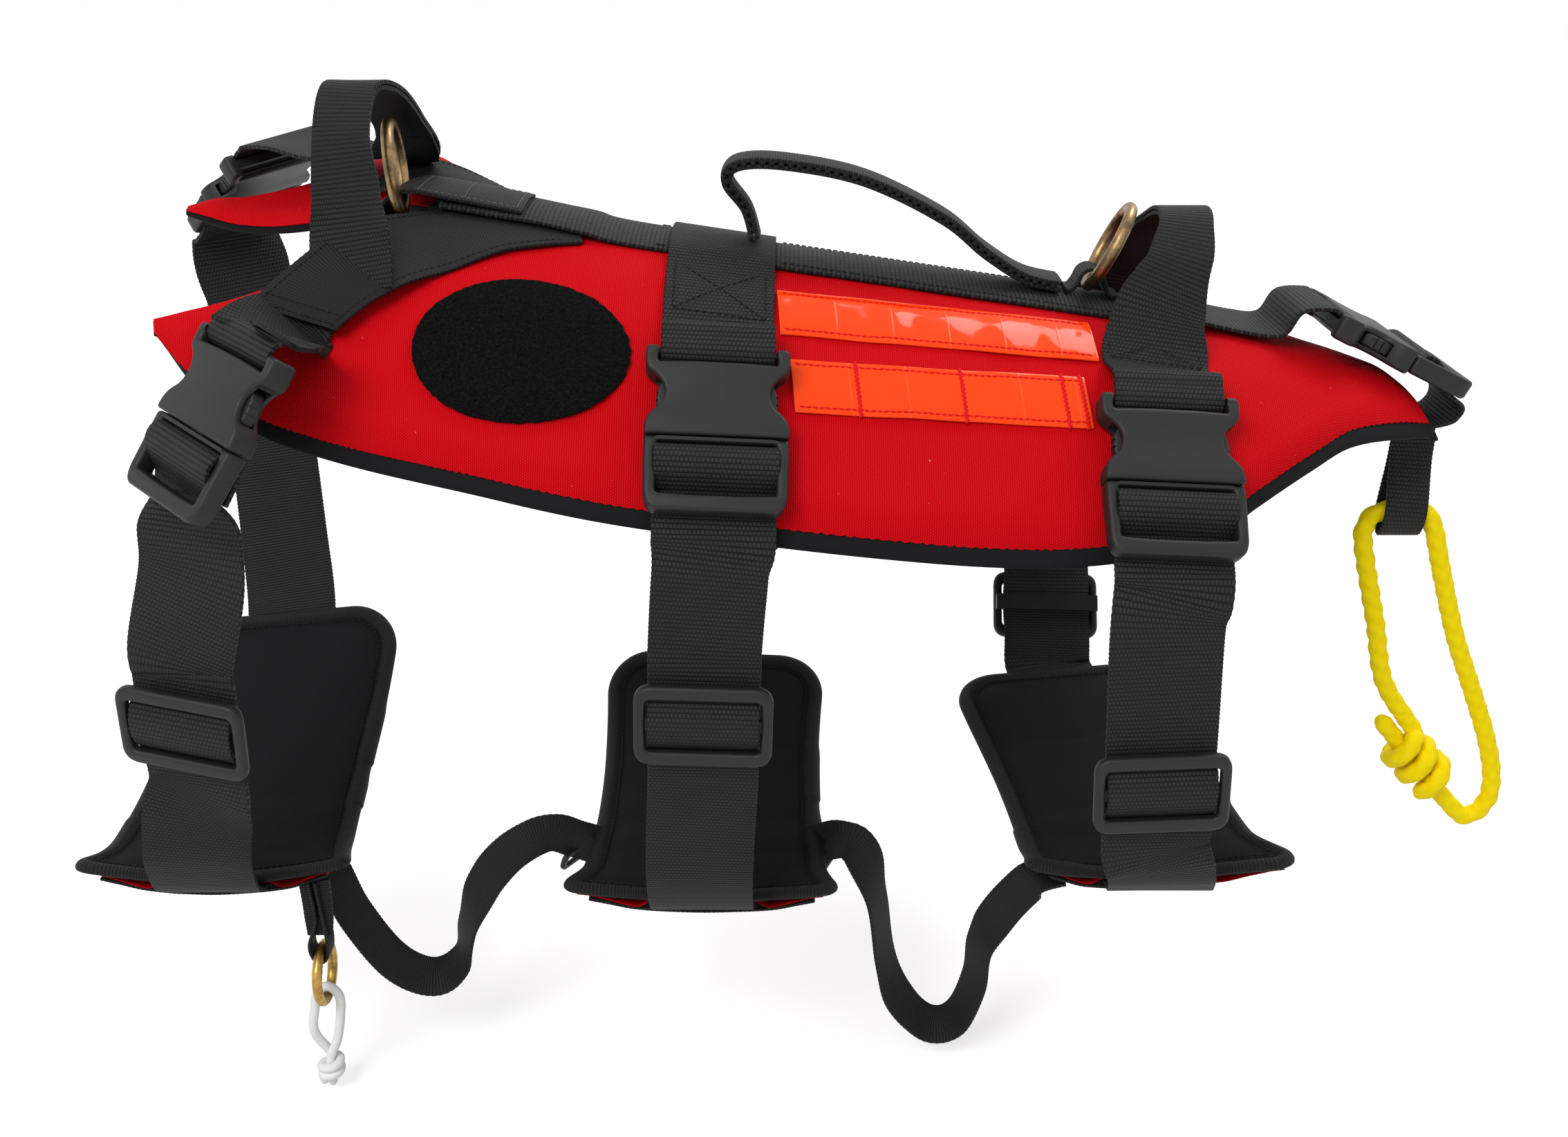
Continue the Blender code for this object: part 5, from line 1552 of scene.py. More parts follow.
rear_link = [((12, -46, -295), (0.0, 0.3, 0.9)), ((21, -52, -288), (0.0, 0.15, 1.0))]
rear_link += [((30.5, -58, -283), (0.1, 0.15, 1.0)), ((40, -62, -288), (0.6, 0.35, 0.7))]
rear_link += [((48.6, -66, -314.5), (0.42, 0.88, 0.2)), ((53.2, -70, -347), (0.42, 0.88, 0.2))]
rear_link += [((61, -73, -370), (0.45, 0.75, 0.45)), ((76.5, -74, -386), (0.0, 0.75, 0.66))]
rear_link += [((91, -75, -381.7), (-0.3, 0.82, 0.45)), ((99.7, -77, -357), (-0.45, 0.88, 0.1))]
rear_link += [((101.5, -79, -333), (-0.45, 0.85, 0.15)), ((110.7, -81, -312), (-0.7, 0.45, 0.45))]
rear_link += [((121.9, -85, -294), (-0.55, 0.62, 0.5)), ((129, -86.5, -287.2), (-0.2, 0.95, 0.2))]
rear_link += [((141, -87, -285.6), (0.0, 1.0, 0.0))]
for word, route in (("front", front_link), ("rear", rear_link)):
    knots = [free_knot(*place, LINK, Vector(turn)) for place, turn in route]
    strap(word + "_link_tape", knots,
          fine_webbing, [word + "_link_strap"], thick=LINK_THICK, bumps=LINK_EDGE)
belly_tab = [(-232, -98, -281.8), (-229, -102, -300), (-227, -105, -312), (-227.9, -105, -319.8)]
belly_tab += [(-231.5, -105, -323), (-235.1, -105, -319.8), (-236, -105, -312), (-232.6, -102, -300)]
belly_tab += [(-235.4, -98, -281.8)]
belly_knots = [free_knot(*point, 11, NORTH) for point in belly_tab]
strap("belly_ring_tape", belly_knots, fine_webbing, ["belly_ring_tab"], thick=LINK_THICK, bumps=LINK_EDGE)
stem = [free_knot(-233.6, -98, -282, 15), free_knot(-232, -102, -298, 14)]
stem += [free_knot(-231.6, -104.6, -309.5, 12)]
strap("belly_ring_stem", stem, fine_webbing, thick=3.4 * MM, bumps=LINK_EDGE)
print("links laid")

# %% [markdown]
# The tail strap rises off the back, turns over and holds the tail buckle.
# The end strap folds under the plug and back to the panels, and the pull tab hangs from it.

# %% Tail strap and pull tab
tail_knots = [laid_knot(199, 0, LAID, hint=NORTH), laid_knot(222, 0, LAID, hint=NORTH)]
tail_knots += [free_knot(240, 0, -24, hint=NORTH), free_knot(248, 0, -13, hint=NORTH)]
tail_knots += local_knots(BUCKLES["tail"], SOCKET_END[1:], NORTH)
strap("tail_webbing", tail_knots, heavy_webbing, ["tail_strap"])
end_knots = local_knots(BUCKLES["tail"], PLUG_END[:-2], NORTH, IN_PLUG)
end_fold = [(332.4, -61, 46), (330.8, -67.4, 42), (325, -71, 38), (316, -71.4, 36)]
end_fold += [(306, -67.5, 32), (296, -62.6, 30)]
end_knots += [free_knot(x, 0, z, width, NORTH) for x, z, width in end_fold]
made = webbing("tail_end_webbing", end_knots)
dress(made, heavy_webbing, "black_webbing", None, ["tail_end_strap"])
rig.blend(made, "tail_plug", "harness", at(336, 0, -57), at(327, 0, -70))
pull_route = [(317, -4.5, -73.5), (316, -4.3, -95), (314, -4.6, -114), (313.5, -4.9, -123.5)]
pull_route += [(313.5, -11, -130.8), (313.5, -17.1, -123.5), (314, -17.4, -114), (316, -8.4, -93)]
pull_route += [(316.7, -7.2, -79)]
made = webbing("pull_webbing", [free_knot(x, y, z, 21) for x, y, z in pull_route])
dress(made, heavy_webbing, "black_webbing", "pull", ["pull_tab"])
print("tail straps laid")

# %% [markdown]
# The rings are bent from round wire and welded shut, so each keeps a small bulge at its weld.
# The weld lies beside the tab, and the wire is a little uneven all round.

# %% Rings
def wire_ring(name, pivot, up, side, outer, wire, finish, body):
    """Ring whose wire runs through the pivot; up points to its centre and side lies in its plane."""
    bpy.ops.object.select_all(action="DESELECT")
    bpy.ops.mesh.primitive_torus_add(
        major_segments=88, minor_segments=18, major_radius=(outer - wire) / 2, minor_radius=wire / 2)
    made = bpy.context.object
    made.name = made.data.name = name
    reach = (outer - wire) / 2
    for vertex in made.data.vertices:
        angle = math.atan2(vertex.co.y, vertex.co.x)
        middle = Vector((math.cos(angle), math.sin(angle), 0.0)) * reach
        weld = math.exp(-((angle + 0.6) / 0.07) ** 2)
        uneven = noise.noise(middle * 90.0) * 0.03
        vertex.co = middle + (vertex.co - middle) * (1.0 + 0.07 * weld + uneven)
    made.data.transform(Matrix.Translation(Vector((0.0, reach, 0.0))))
    made.data.transform(frame_of(pivot, up, up.cross(side)))
    return dress(made, finish, "aged_brass", body, [body], 60)


wire_ring("front_lead_ring", at(-183.5, 0, 31.4), Vector((-0.08, 0.0, 1.0)), Vector((-0.1, 0.99, 0.0)),
          47 * MM, 6 * MM, ring_brass, "front_ring")
wire_ring("rear_lead_ring", at(148.4, 0, -4.6), Vector((0.45, 0.0, 0.89)), Vector((0.1, 0.98, -0.05)),
          47 * MM, 6 * MM, ring_brass, "rear_ring")
wire_ring("belly_lead_ring", at(-231.5, -105, -317), Vector((0.0, 0.0, -1.0)), NORTH,
          34 * MM, 5 * MM, small_brass, "belly_ring")
print("rings bent")

# %% [markdown]
# The carrying handle is webbing folded to a flat tube and sewn along its side.
# The seam is overstitched with a heavy thread, which shows as a row of round knots between the two layers.
# The knot is modelled once, flattened below, and copied along both sides.

# %% Top handle
handle_route = [(-14, 19.2, 22), (-18, 33, 17), (-27, 46, 22), (-22, 54, 25), (0, 54.5, 25), (38, 47, 25)]
handle_route += [(76, 29, 25), (97, 12.5, 25), (116, 0.8, 25), (134, -3.6, 25)]
handle_knots = [free_knot(x, 0, z, width, NORTH) for x, z, width in handle_route]
for word, off in (("outer", 1.5 * MM), ("inner", -1.5 * MM)):
    def swell(across, walked, off=off):
        return off + math.copysign(0.5 * MM, off) * (1.0 - (2.0 * across - 1.0) ** 2)

    strap("handle_" + word + "_layer", handle_knots,
          fine_webbing, ["top_handle"], thick=2.2 * MM, lift=swell)


def small_knot(long, wide, high, flat=0.75):
    """One thread knot or bead, flattened below, drawn along x."""
    bpy.ops.object.select_all(action="DESELECT")
    bpy.ops.mesh.primitive_uv_sphere_add(segments=8, ring_count=5, radius=1.0)
    made = bpy.context.object
    for vertex in made.data.vertices:
        low = flat if vertex.co.z < 0.0 else 1.0
        vertex.co = (vertex.co.x * long / 2, vertex.co.y * wide / 2, vertex.co.z * high / 2 * low)
    return made


def sew(name, pattern, places, finish, slot="black_webbing"):
    """Copies of one pattern at many placements, joined to a single piece of the harness."""
    copies = [put(pattern, name, place) for place in places]
    bpy.ops.object.select_all(action="DESELECT")
    for copy in copies:
        copy.select_set(True)
    bpy.context.view_layer.objects.active = copies[0]
    bpy.ops.object.join()
    bpy.data.objects.remove(pattern, do_unlink=True)
    dress(copies[0], finish, slot, "harness", (), 60)


rows, handle_length = even_rows(lay_out(handle_knots, 8), 4.4 * MM)
places = []
for point, width, ahead in rows[1:-1]:
    for side in (-1.0, 1.0):
        edge = width.normalized() * side
        turn = Matrix((ahead, edge.cross(ahead), edge)).transposed().to_4x4()
        places.append(Matrix.Translation(point + width * (0.5 * side) - edge * 0.2 * MM) @ turn)
seam_knot = small_knot(3.3 * MM, 3.0 * MM, 2.2 * MM)
sew("handle_seam_knots", seam_knot, places, black_thread)
print("handle", round(handle_length, 3), "m long with", len(places), "seam knots")

# %% [markdown]
# The oval patch on the left panel is the soft loop half of a hook fastener.
# Its outline is cut by hand, and the pile makes its face and edge uneven.

# %% Loop patch
PATCH_LENGTH, PATCH_HEIGHT, PATCH_THICK, PATCH_TURN = 100 * MM, 70 * MM, 1.6 * MM, math.radians(9)
PATCH_X, PATCH_S = -119 * MM, -95 * MM


def patch_place(across, along):
    u, v = 2.0 * across - 1.0, 2.0 * along - 1.0
    long_way = u * math.sqrt(1.0 - v * v / 2.0) * PATCH_LENGTH / 2.0
    short_way = v * math.sqrt(1.0 - u * u / 2.0) * PATCH_HEIGHT / 2.0
    edge = max(abs(u), abs(v)) ** 6
    ragged = 1.0 + 0.012 * edge * noise.noise(Vector((long_way, short_way, 0.0)) * 320.0)
    x = (long_way * math.cos(PATCH_TURN) - short_way * math.sin(PATCH_TURN)) * ragged
    s = (long_way * math.sin(PATCH_TURN) + short_way * math.cos(PATCH_TURN)) * ragged
    fluff = 0.3 * MM * noise.noise(Vector((x, s, 0.3)) * 700.0)
    height = COVER_TOP + 0.4 * MM + PATCH_THICK / 2.0 + fluff - 0.35 * MM * edge
    return drape(x + PATCH_X, s + PATCH_S, height)


made = lay_grid("loop_pile_patch", 130, 96, patch_place, lambda a, b: (a * PATCH_LENGTH, b * PATCH_HEIGHT))
thicken(made, PATCH_THICK, 0.5 * MM)
dress(made, pile, "loop_pile", "harness", ["loop_patch"], 80)
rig.sheet(made, (PATCH_LENGTH, PATCH_HEIGHT), "laid", ["left_cover_cloth"],
         area=math.pi / 4 * PATCH_LENGTH * PATCH_HEIGHT)
print("patch laid")

# %% [markdown]
# Two fluorescent strips are sewn to the left panel along both long edges.
# The seams pull the vinyl into shallow pillows, and those waves break up its reflections.

# %% High-visibility strips
STRIP_WIDTH, STRIP_THICK = 26 * MM, 1.0 * MM
STRIPS = {"upper": ((-4, -56), (143, -45)), "lower": ((2.5, -94), (137, -81))}


def strip_spot(word, across, walked):
    """Pattern place on a strip, at a share of its width and metres from its front end."""
    start, end = (spot(*corner) for corner in STRIPS[word])
    ahead = (end - start).normalized()
    wander = 0.5 * MM * noise.noise(Vector((walked * 38.0, across * 2.0, 0.1 if word == "upper" else 0.6)))
    return start + ahead * walked + Vector((-ahead.y, ahead.x, 0.0)) * ((across - 0.5) * STRIP_WIDTH + wander)


def strip_height(word, across, walked):
    middle = 1.0 - (2.0 * across - 1.0) ** 4
    phase = walked * math.tau / (26 * MM)
    seed = 2.0 if word == "upper" else 5.0
    wave = 0.5 * math.cos(phase) + 0.6 * noise.noise(Vector((walked * 120.0, across * 2.4, seed)))
    return COVER_TOP + 0.3 * MM + STRIP_THICK / 2 + (0.45 + 0.4 * wave) * MM * middle


for word, (start, end) in STRIPS.items():
    long = (spot(*end) - spot(*start)).length

    def strip_place(across, along, word=word, long=long):
        place_at = strip_spot(word, across, along * long)
        return drape(place_at.x, place_at.y, strip_height(word, across, along * long))

    made = lay_grid(word + "_vinyl_strip", 18, 120, strip_place, lambda a, b: (a * STRIP_WIDTH, b * long))
    thicken(made, STRIP_THICK, 0.35 * MM)
    dress(made, vinyl, "orange_vinyl", "harness", [word + "_strip"], 60)
    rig.sheet(made, (STRIP_WIDTH, long), "laid", ["left_cover_cloth"])
print("strips laid")

# %% [markdown]
# A belly pad is foam between black stretch cloth and red cloth, bound all round with a folded tape.
# It lies inside its strap and curves with it, so its shape is given along and across that strap.
# The near corners flare a little, because the tape pulls the foam outwards there.

# %% Lie of the pads
PAD_WIDTH, PAD_THICK, PAD_EDGE, PAD_DRAW = 128 * MM, 9 * MM, 4.5 * MM, 5 * MM
NEAR_CORNER, FAR_CORNER, PAD_BORDER, PAD_FLOOR = 13 * MM, 28 * MM, 20 * MM, 1.3 * MM
CHANNELS = ((0.34, 0.3), (0.66, 0.3), (0.11, 0.3), (0.2, 0.32))
FLARES = {"front": (9, 10, 3, 8), "mid": (10, 6, -6, 4), "rear": (0, 7, 14, 6)}
PADS = {}
for word in GIRTHS:
    knots, first = girth_knots(word)
    PADS[word] = even_rows(lay_out(knots, 12)[(first + 2) * 12:(first + 6) * 12 + 1], 2.5 * MM)


def on_pad(word, u, v, h):
    """World point and inner side of a pad, u across and v along it, h above the middle of the strap."""
    rows, long = PADS[word]
    step = min(max(v / long * (len(rows) - 1), 0.0), len(rows) - 1.001)
    part = step - int(step)
    point, width, ahead = [a.lerp(b, part) for a, b in zip(rows[int(step)], rows[int(step) + 1])]
    inward = width.cross(ahead).normalized()
    inward = -inward if inward.z < 0.0 else inward
    left_out, left_up, right_out, right_up = FLARES[word]
    out, up = (left_out, left_up) if u < 0.0 else (right_out, right_up)
    corner = ease((abs(u) - PAD_WIDTH / 2 + 30 * MM) / (30 * MM)) * ease((34 * MM - v) / (34 * MM))
    bow = (2.0 * u / PAD_WIDTH) ** 2 * ease((46 * MM - v) / (46 * MM))
    u += math.copysign(out * MM * corner, u)
    return point + width.normalized() * u + inward * (h + up * MM * bow), inward


def half_width(word, v):
    return PAD_WIDTH / 2 - PAD_DRAW * math.sin(math.pi * min(max(v / PADS[word][1], 0.0), 1.0))


def pad_rise(across, along, long):
    """Share of the full thickness: crowned, low at the border and in the sewn channels."""
    rise = ease(min(across, 1.0 - across) * PAD_WIDTH / PAD_BORDER)
    rise *= ease(min(along, 1.0 - along) * long / PAD_BORDER)
    for channel, depth in CHANNELS:
        rise *= 1.0 - depth * math.exp(-((along - channel) / 0.045) ** 2)
    return PAD_EDGE / PAD_THICK + (1.0 - PAD_EDGE / PAD_THICK) * rise


print({word: round(long, 3) for word, (rows, long) in PADS.items()}, "m pad lengths")

# %% [markdown]
# The foam body starts a little thin and is blown up by the cloth solver, with its border held by the binding.
# Each point may move three millimetres at most, so the pad stays in its place on the strap.

# %% Foam bodies
PAD_COLUMNS, PAD_ROWS = 42, 60


def puff(piece, held, most):
    """Blow a closed body up with the cloth solver; the held share of each point stays where it is."""
    group = piece.vertex_groups.new(name="held")
    for index, weight in enumerate(held):
        group.add([index], weight, "REPLACE")
    before = [vertex.co.copy() for vertex in piece.data.vertices]
    change = piece.modifiers.new("cloth", "CLOTH")
    cloth = change.settings
    cloth.quality = 6
    cloth.mass = 0.15
    cloth.tension_stiffness = cloth.compression_stiffness = 12
    cloth.shear_stiffness = 6
    cloth.bending_stiffness = 0.3
    cloth.use_pressure = True
    cloth.uniform_pressure_force = 4.0
    cloth.vertex_group_mass = "held"
    cloth.effector_weights.gravity = 0.0
    change.collision_settings.use_collision = False
    change.collision_settings.use_self_collision = False
    for frame_number in range(1, 21):
        bpy.context.scene.frame_set(frame_number)
    shaped = piece.evaluated_get(bpy.context.evaluated_depsgraph_get()).data
    moved = [vertex.co.copy() for vertex in shaped.vertices]
    piece.modifiers.remove(change)
    bpy.context.scene.frame_set(1)
    far = 0.0
    for vertex, old, new in zip(piece.data.vertices, before, moved):
        step = new - old
        if step.length > most:
            step = step.normalized() * most
        far = max(far, step.length)
        vertex.co = old + step
    piece.vertex_groups.clear()
    return far


for word, (rows, long) in PADS.items():
    thin = 1.0 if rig.quick() else 0.78

    def pad_place(across, along, word=word, long=long, thin=thin):
        v = along * long
        short = max(NEAR_CORNER - v, 0.0)
        inset = NEAR_CORNER - math.sqrt(NEAR_CORNER ** 2 - short ** 2)
        short = max(FAR_CORNER - (long - v), 0.0)
        inset += FAR_CORNER - math.sqrt(FAR_CORNER ** 2 - short ** 2)
        u = (2.0 * across - 1.0) * (half_width(word, v) - inset - 2.5 * MM)
        v = 2.5 * MM + along * (long - 5.0 * MM)
        height = PAD_THICK * pad_rise(across, along, long) * thin
        return on_pad(word, u, v, PAD_FLOOR + height / 2)[0]

    made = lay_grid(word + "_pad_foam", PAD_COLUMNS, PAD_ROWS, pad_place,
                    lambda a, b: (a * PAD_WIDTH, b * long))
    rises = []
    for row in range(PAD_ROWS + 1):
        rises += [pad_rise(column / PAD_COLUMNS, row / PAD_ROWS, long) for column in range(PAD_COLUMNS + 1)]
    thick = made.vertex_groups.new(name="thick")
    for index, rise in enumerate(rises):
        thick.add([index], rise, "REPLACE")
    settle(made, "SOLIDIFY", thickness=PAD_THICK * thin, offset=0.0, vertex_group="thick")
    made.vertex_groups.clear()
    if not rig.quick():
        held = [1.0 - 0.97 * ease((rise - 0.55) / 0.35) for rise in rises + rises]
        far = puff(made, held, 3.0 * MM)
        print(word, "pad moved by", round(far / MM, 2), "mm")
    settle(made, "SUBSURF", levels=1, render_levels=1)
    dress(made, stretch, "black_lining", "harness", [word + "_pad"], 60)
    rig.padded(made, 0.6)
print("pads padded")

# %% [markdown]
# The binding is a tape folded over the edge of the pad and sewn through.
# It is swept round the outline with a flattened round section, fuller above than below.
# Where the tape's ends overlap it gets thicker, and its inner edge wanders with the sewing.

# %% Pad bindings
BIND = 4.7 * MM


def pad_outline(word, inset, pitch):
    """Places (u, v) round a pad, inside its edge by the inset, starting at the middle of the near end."""
    long = PADS[word][1]
    near, far = max(NEAR_CORNER - inset, 2 * MM), FAR_CORNER - inset
    half = []
    wide = half_width(word, 0.0) - inset
    half += [(u, inset) for u in np.linspace(0.0, wide - near, 24)]
    for angle in np.linspace(-math.pi / 2, 0.0, 14)[1:]:
        v = inset + near + near * math.sin(angle)
        half.append((half_width(word, v) - inset - near + near * math.cos(angle), v))
    half += [(half_width(word, v) - inset, v) for v in np.linspace(inset + near, long - inset - far, 40)[1:]]
    for angle in np.linspace(0.0, math.pi / 2, 20)[1:]:
        v = long - inset - far + far * math.sin(angle)
        half.append((half_width(word, v) - inset - far + far * math.cos(angle), v))
    half += [(u, long - inset) for u in np.linspace(half[-1][0], 0.0, 24)[1:]]
    whole = half + [(-u, v) for u, v in reversed(half[:-1])]
    places = [Vector((u, v, 0.0)) for u, v in whole]
    return evenly(places, pitch)


def overlap(walked, spots):
    """Extra thickness of the tape where its folded ends lie over each other."""
    extra = 0.0
    for start, long in spots:
        extra = max(extra, ease((walked - start) / (2 * MM)) * ease((start + long - walked) / (14 * MM)))
    return extra


TAPE_PITCH, TAPE_ROUND = 1.6 * MM, 25 * MM
LAPS = {
    "front": [(0.118, 0.03), (0.152, 0.05), (0.498, 0.04)],
    "mid": [(0.1, 0.035), (0.14, 0.05), (0.49, 0.045)],
    "rear": [(0.11, 0.04), (0.455, 0.03), (0.49, 0.04)],
}
for word in PADS:
    ring_at = pad_outline(word, BIND, TAPE_PITCH)
    points = [on_pad(word, place.x, place.y, PAD_FLOOR + PAD_EDGE / 2) for place in ring_at]
    last = len(points) - 1

    def tape_place(across, along, points=points, last=last, word=word):
        index = round(along * last) % last
        point, inward = points[index]
        ahead = (points[(index + 1) % last][0] - points[index - 1][0]).normalized()
        out = ahead.cross(inward).normalized()
        walked = index * TAPE_PITCH
        extra = 1.0 + 0.16 * overlap(walked, LAPS[word])
        wander = 1.0 + 0.1 * noise.noise(Vector((walked * 70.0, 0.3, 0.0)))
        wander += 0.05 * noise.noise(Vector((walked * 400.0, 0.9, 0.0)))
        angle = math.tau * across
        reach_out = math.cos(angle)
        reach_out *= BIND * (extra if reach_out > 0.0 else wander * extra)
        reach_up = math.sin(angle)
        reach_up *= (3.5 if reach_up > 0.0 else 2.3) * MM * extra * (1.0 if math.cos(angle) > -0.4 else 0.82)
        return point + out * reach_out + inward * reach_up

    long = last * TAPE_PITCH
    made = lay_grid(word + "_pad_binding", 18, last, tape_place, lambda a, b: (a * TAPE_ROUND, b * long))
    weld_seam(made, 0.02 * MM, False)
    dress(made, binding_tape, "black_webbing", "harness", (), 80)
print("pads bound")

# %% [markdown]
# The outer face of each pad is red cloth, which shows as slivers under the near binding.
# A tape runs crosswise under the strap there and carries on as the link between the pads.

# %% Pad backs and carrier tapes
CARRIER = [(-53, -0.4), (-45, -1.8), (-34, -3.5), (-18, -3.6), (0, -3.7)]
CARRIER += [(-u, low) for u, low in reversed(CARRIER[:-1])]
for word, (rows, long) in PADS.items():
    def back_place(across, along, word=word, long=long):
        v = 3 * MM + along * (long - 12 * MM)
        u = (2.0 * across - 1.0) * (half_width(word, v) - 9 * MM)
        droop = ease((abs(u) - 26 * MM) / (6 * MM)) * ease((52 * MM - abs(u)) / (18 * MM))
        droop *= ease((50 * MM - v) / (40 * MM))
        return on_pad(word, u, v, 1.15 * MM - 3.4 * MM * droop)[0]

    made = lay_grid(word + "_pad_back", 48, 50, back_place, lambda a, b: (a * 110 * MM, b * long))
    settle(made, "SOLIDIFY", thickness=0.3 * MM, offset=0.0)
    dress(made, red_cloth, "red_cloth", "harness", (), 60)
    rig.sheet(made, (PAD_WIDTH - 18 * MM, long - 12 * MM), "stretched", [word + "_pad_foam"])
    carrier = []
    for u, low in CARRIER:
        point, _ = on_pad(word, u * MM, 15 * MM, low * MM)
        ahead = on_pad(word, u * MM, 17 * MM, 0.0)[0] - on_pad(word, u * MM, 13 * MM, 0.0)[0]
        carrier.append((point, ahead.normalized(), 20 * MM))
    strap(word + "_carrier_tape", carrier, fine_webbing, thick=LINK_THICK, bumps=LINK_EDGE)
print("pad backs laid")

# %% [markdown]
# Small plastic loops join the link tapes to the middle pad.
# Each is a stretched ring with flattened sides, drawn flat and then stood in the plane of its tape.

# %% Link loops
loop_shape = [(-12, -5), (12, -5), (12, 5), (-12, 5)]
loop_hole = [(-9, -2.2), (9, -2.2), (9, 2.2), (-9, 2.2)]
LINK_LOOPS = {"front": ((-110, -52, -296), (0.3, 0.0, 1.0)), "rear": ((22, -52, -297), (-0.3, 0.0, 1.0))}
for word, (middle, up) in LINK_LOOPS.items():
    made = moulded([soften(loop_shape, 4.5, 6), soften(loop_hole, 2.0, 6)], 3.0, 1.2)
    made.name = made.data.name = word + "_link_loop"
    turn = frame_of(at(*middle), Vector(up), LINK_TURN.cross(Vector(up)))
    made.data.transform(turn)
    dress(made, plastic, "grey_plastic", "harness", (), 40)
print("link loops made")

# %% [markdown]
# Sewing shows everywhere on a harness: lines along the edges, boxes with a cross where a strap carries load.
# One stitch is a short grain of thread, flattened below; it is copied along each line and laid on the cloth.
# Lines on the panels are given on the flat pattern, and lines on a strap by their place across and along it.

# %% Stitching tools
SEAM_PITCH, YOKE_PITCH, SEAM_RISE = 3.2 * MM, 3.0 * MM, WEBBING_THICK / 2 + 0.05 * MM


def along_line(points, outward, pitch, swing=0.0):
    """Placements along a line; outward gives the side that faces out, and swing turns stitches to and fro."""
    spaced = evenly(points, pitch)
    out_table = np.array([tuple(way) for way in outward])
    walked = lengths_along(points)
    places = []
    for index, (before, after) in enumerate(zip(spaced, spaced[1:])):
        middle = (before + after) / 2
        share = (index + 0.5) / (len(spaced) - 1) * walked[-1]
        up = Vector([np.interp(share, walked, out_table[:, axis]) for axis in range(3)]).normalized()
        ahead = (after - before).normalized()
        side = up.cross(ahead).normalized()
        turn = Matrix((ahead, side, ahead.cross(side))).transposed().to_4x4()
        sway = Matrix.Rotation(swing * (1 if index % 2 else -1), 4, "Z")
        places.append(Matrix.Translation(middle) @ turn @ sway)
    return places


def laid_line(spots, pitch, swing=0.0):
    """Stitch placements along a line on the panels; each spot is (x, s, height)."""
    line = [drape(x, s, high) for x, s, high in spots]
    ways = [drape(x, s, high + MM) - low for (x, s, high), low in zip(spots, line)]
    return along_line(line, ways, pitch, swing)


def pattern_line(corners, height):
    """Stitch placements on the panels between pattern corners in millimetres."""
    places = []
    for start, end in zip(corners, corners[1:]):
        count = max(int((Vector(end) - Vector(start)).length / 2), 2)
        line = [spot(*Vector(start).lerp(Vector(end), step / count)) for step in range(count + 1)]
        places += laid_line([(place.x, place.y, height) for place in line], SEAM_PITCH)
    return places


def strap_line(knots, across, lift, start, stop, pitch):
    """Stitch placements along a strap, at a share of its width, between two lengths in metres."""
    rows, length = even_rows(lay_out(knots, 8), MM)
    points, ways = [], []
    for index, (point, width, ahead) in enumerate(rows):
        walked = index * length / (len(rows) - 1)
        if start <= walked <= stop:
            way = width.cross(ahead).normalized()
            points.append(point + width * (across - 0.5) + way * (WEBBING_THICK / 2 + lift(across, walked)))
            ways.append(way)
    return along_line(points, ways, pitch)


def stitch(long=2.6, wide=0.75, high=0.7):
    return small_knot(long * MM, wide * MM, high * MM)


print("stitching tools ready")

# %% [markdown]
# The strips are sewn in red along both long edges, and the lower one also has four upright bars of zigzag.

# %% Strip seams
places = []
for word, (start, end) in STRIPS.items():
    long = (spot(*end) - spot(*start)).length
    for across in (0.1, 0.9):
        line = []
        for step in range(75):
            walked = 2 * MM + step / 74 * (long - 5 * MM)
            place_at = strip_spot(word, across, walked)
            high = strip_height(word, across, walked) + STRIP_THICK / 2 + 0.05 * MM
            line.append((place_at.x, place_at.y, high))
        places += laid_line(line, 2.9 * MM, 0.12)
sew("strip_edge_seams", stitch(2.9, 1.05, 0.8), places, red_thread, "red_cloth")
places = []
for walked in (29.4, 77.2, 124.0, 132.6):
    line = []
    for step in range(13):
        place_at = strip_spot("lower", -0.02 + 1.04 * step / 12, walked * MM)
        high = strip_height("lower", step / 12, walked * MM) + STRIP_THICK / 2 + 0.15 * MM
        line.append((place_at.x, place_at.y, high))
    places += laid_line(line, 1.15 * MM, 0.75)
sew("strip_zigzag_bars", stitch(2.9, 1.4, 1.0), places, red_thread, "red_cloth")
print("strips sewn")

# %% [markdown]
# The saddle straps are sewn down in boxes with a cross; the spine and yokes have a line along each edge.

# %% Webbing seams
places = []
for side in (-1, 1):
    for x, near, far, high in ((-31, 34, 64, LAID), (170, 36, 56, LIFTED)):
        top = high + WEBBING_THICK / 2 + 0.1 * MM
        left, right = x - 21, x + 21
        box = [(left, side * near), (right, side * near), (right, side * far), (left, side * far)]
        for line in (box + box[:1], box[0::2], box[1::2]):
            places += pattern_line(line, top)
for side in (-21.5, 21.5):
    places += pattern_line([(-62, side), (-58, side)], LAID + 1.1 * MM)
    places += pattern_line([(-3, side), (60, side), (140, side), (164, side)], LAID + 1.1 * MM)
sew("saddle_and_spine_seams", stitch(), places, black_thread)
places = []
for across in (0.06, 0.94):
    places += strap_line(front_tab_knots, across, tab_sag, 2 * MM, 52 * MM, 3.0 * MM)
rows, _ = even_rows(lay_out(front_tab_knots, 8), MM)
for walked in (3, 28, 50):
    line, ways = [], []
    point, width, ahead = rows[walked]
    for step in range(13):
        across = 0.06 + 0.88 * step / 12
        way = width.cross(ahead).normalized()
        line.append(point + width * (across - 0.5) + way * (tab_sag(across, walked * MM) + WEBBING_THICK / 2))
        ways.append(way)
    places += along_line(line, ways, 1.6 * MM if walked == 3 else 3.0 * MM, 0.5 if walked == 3 else 0.0)
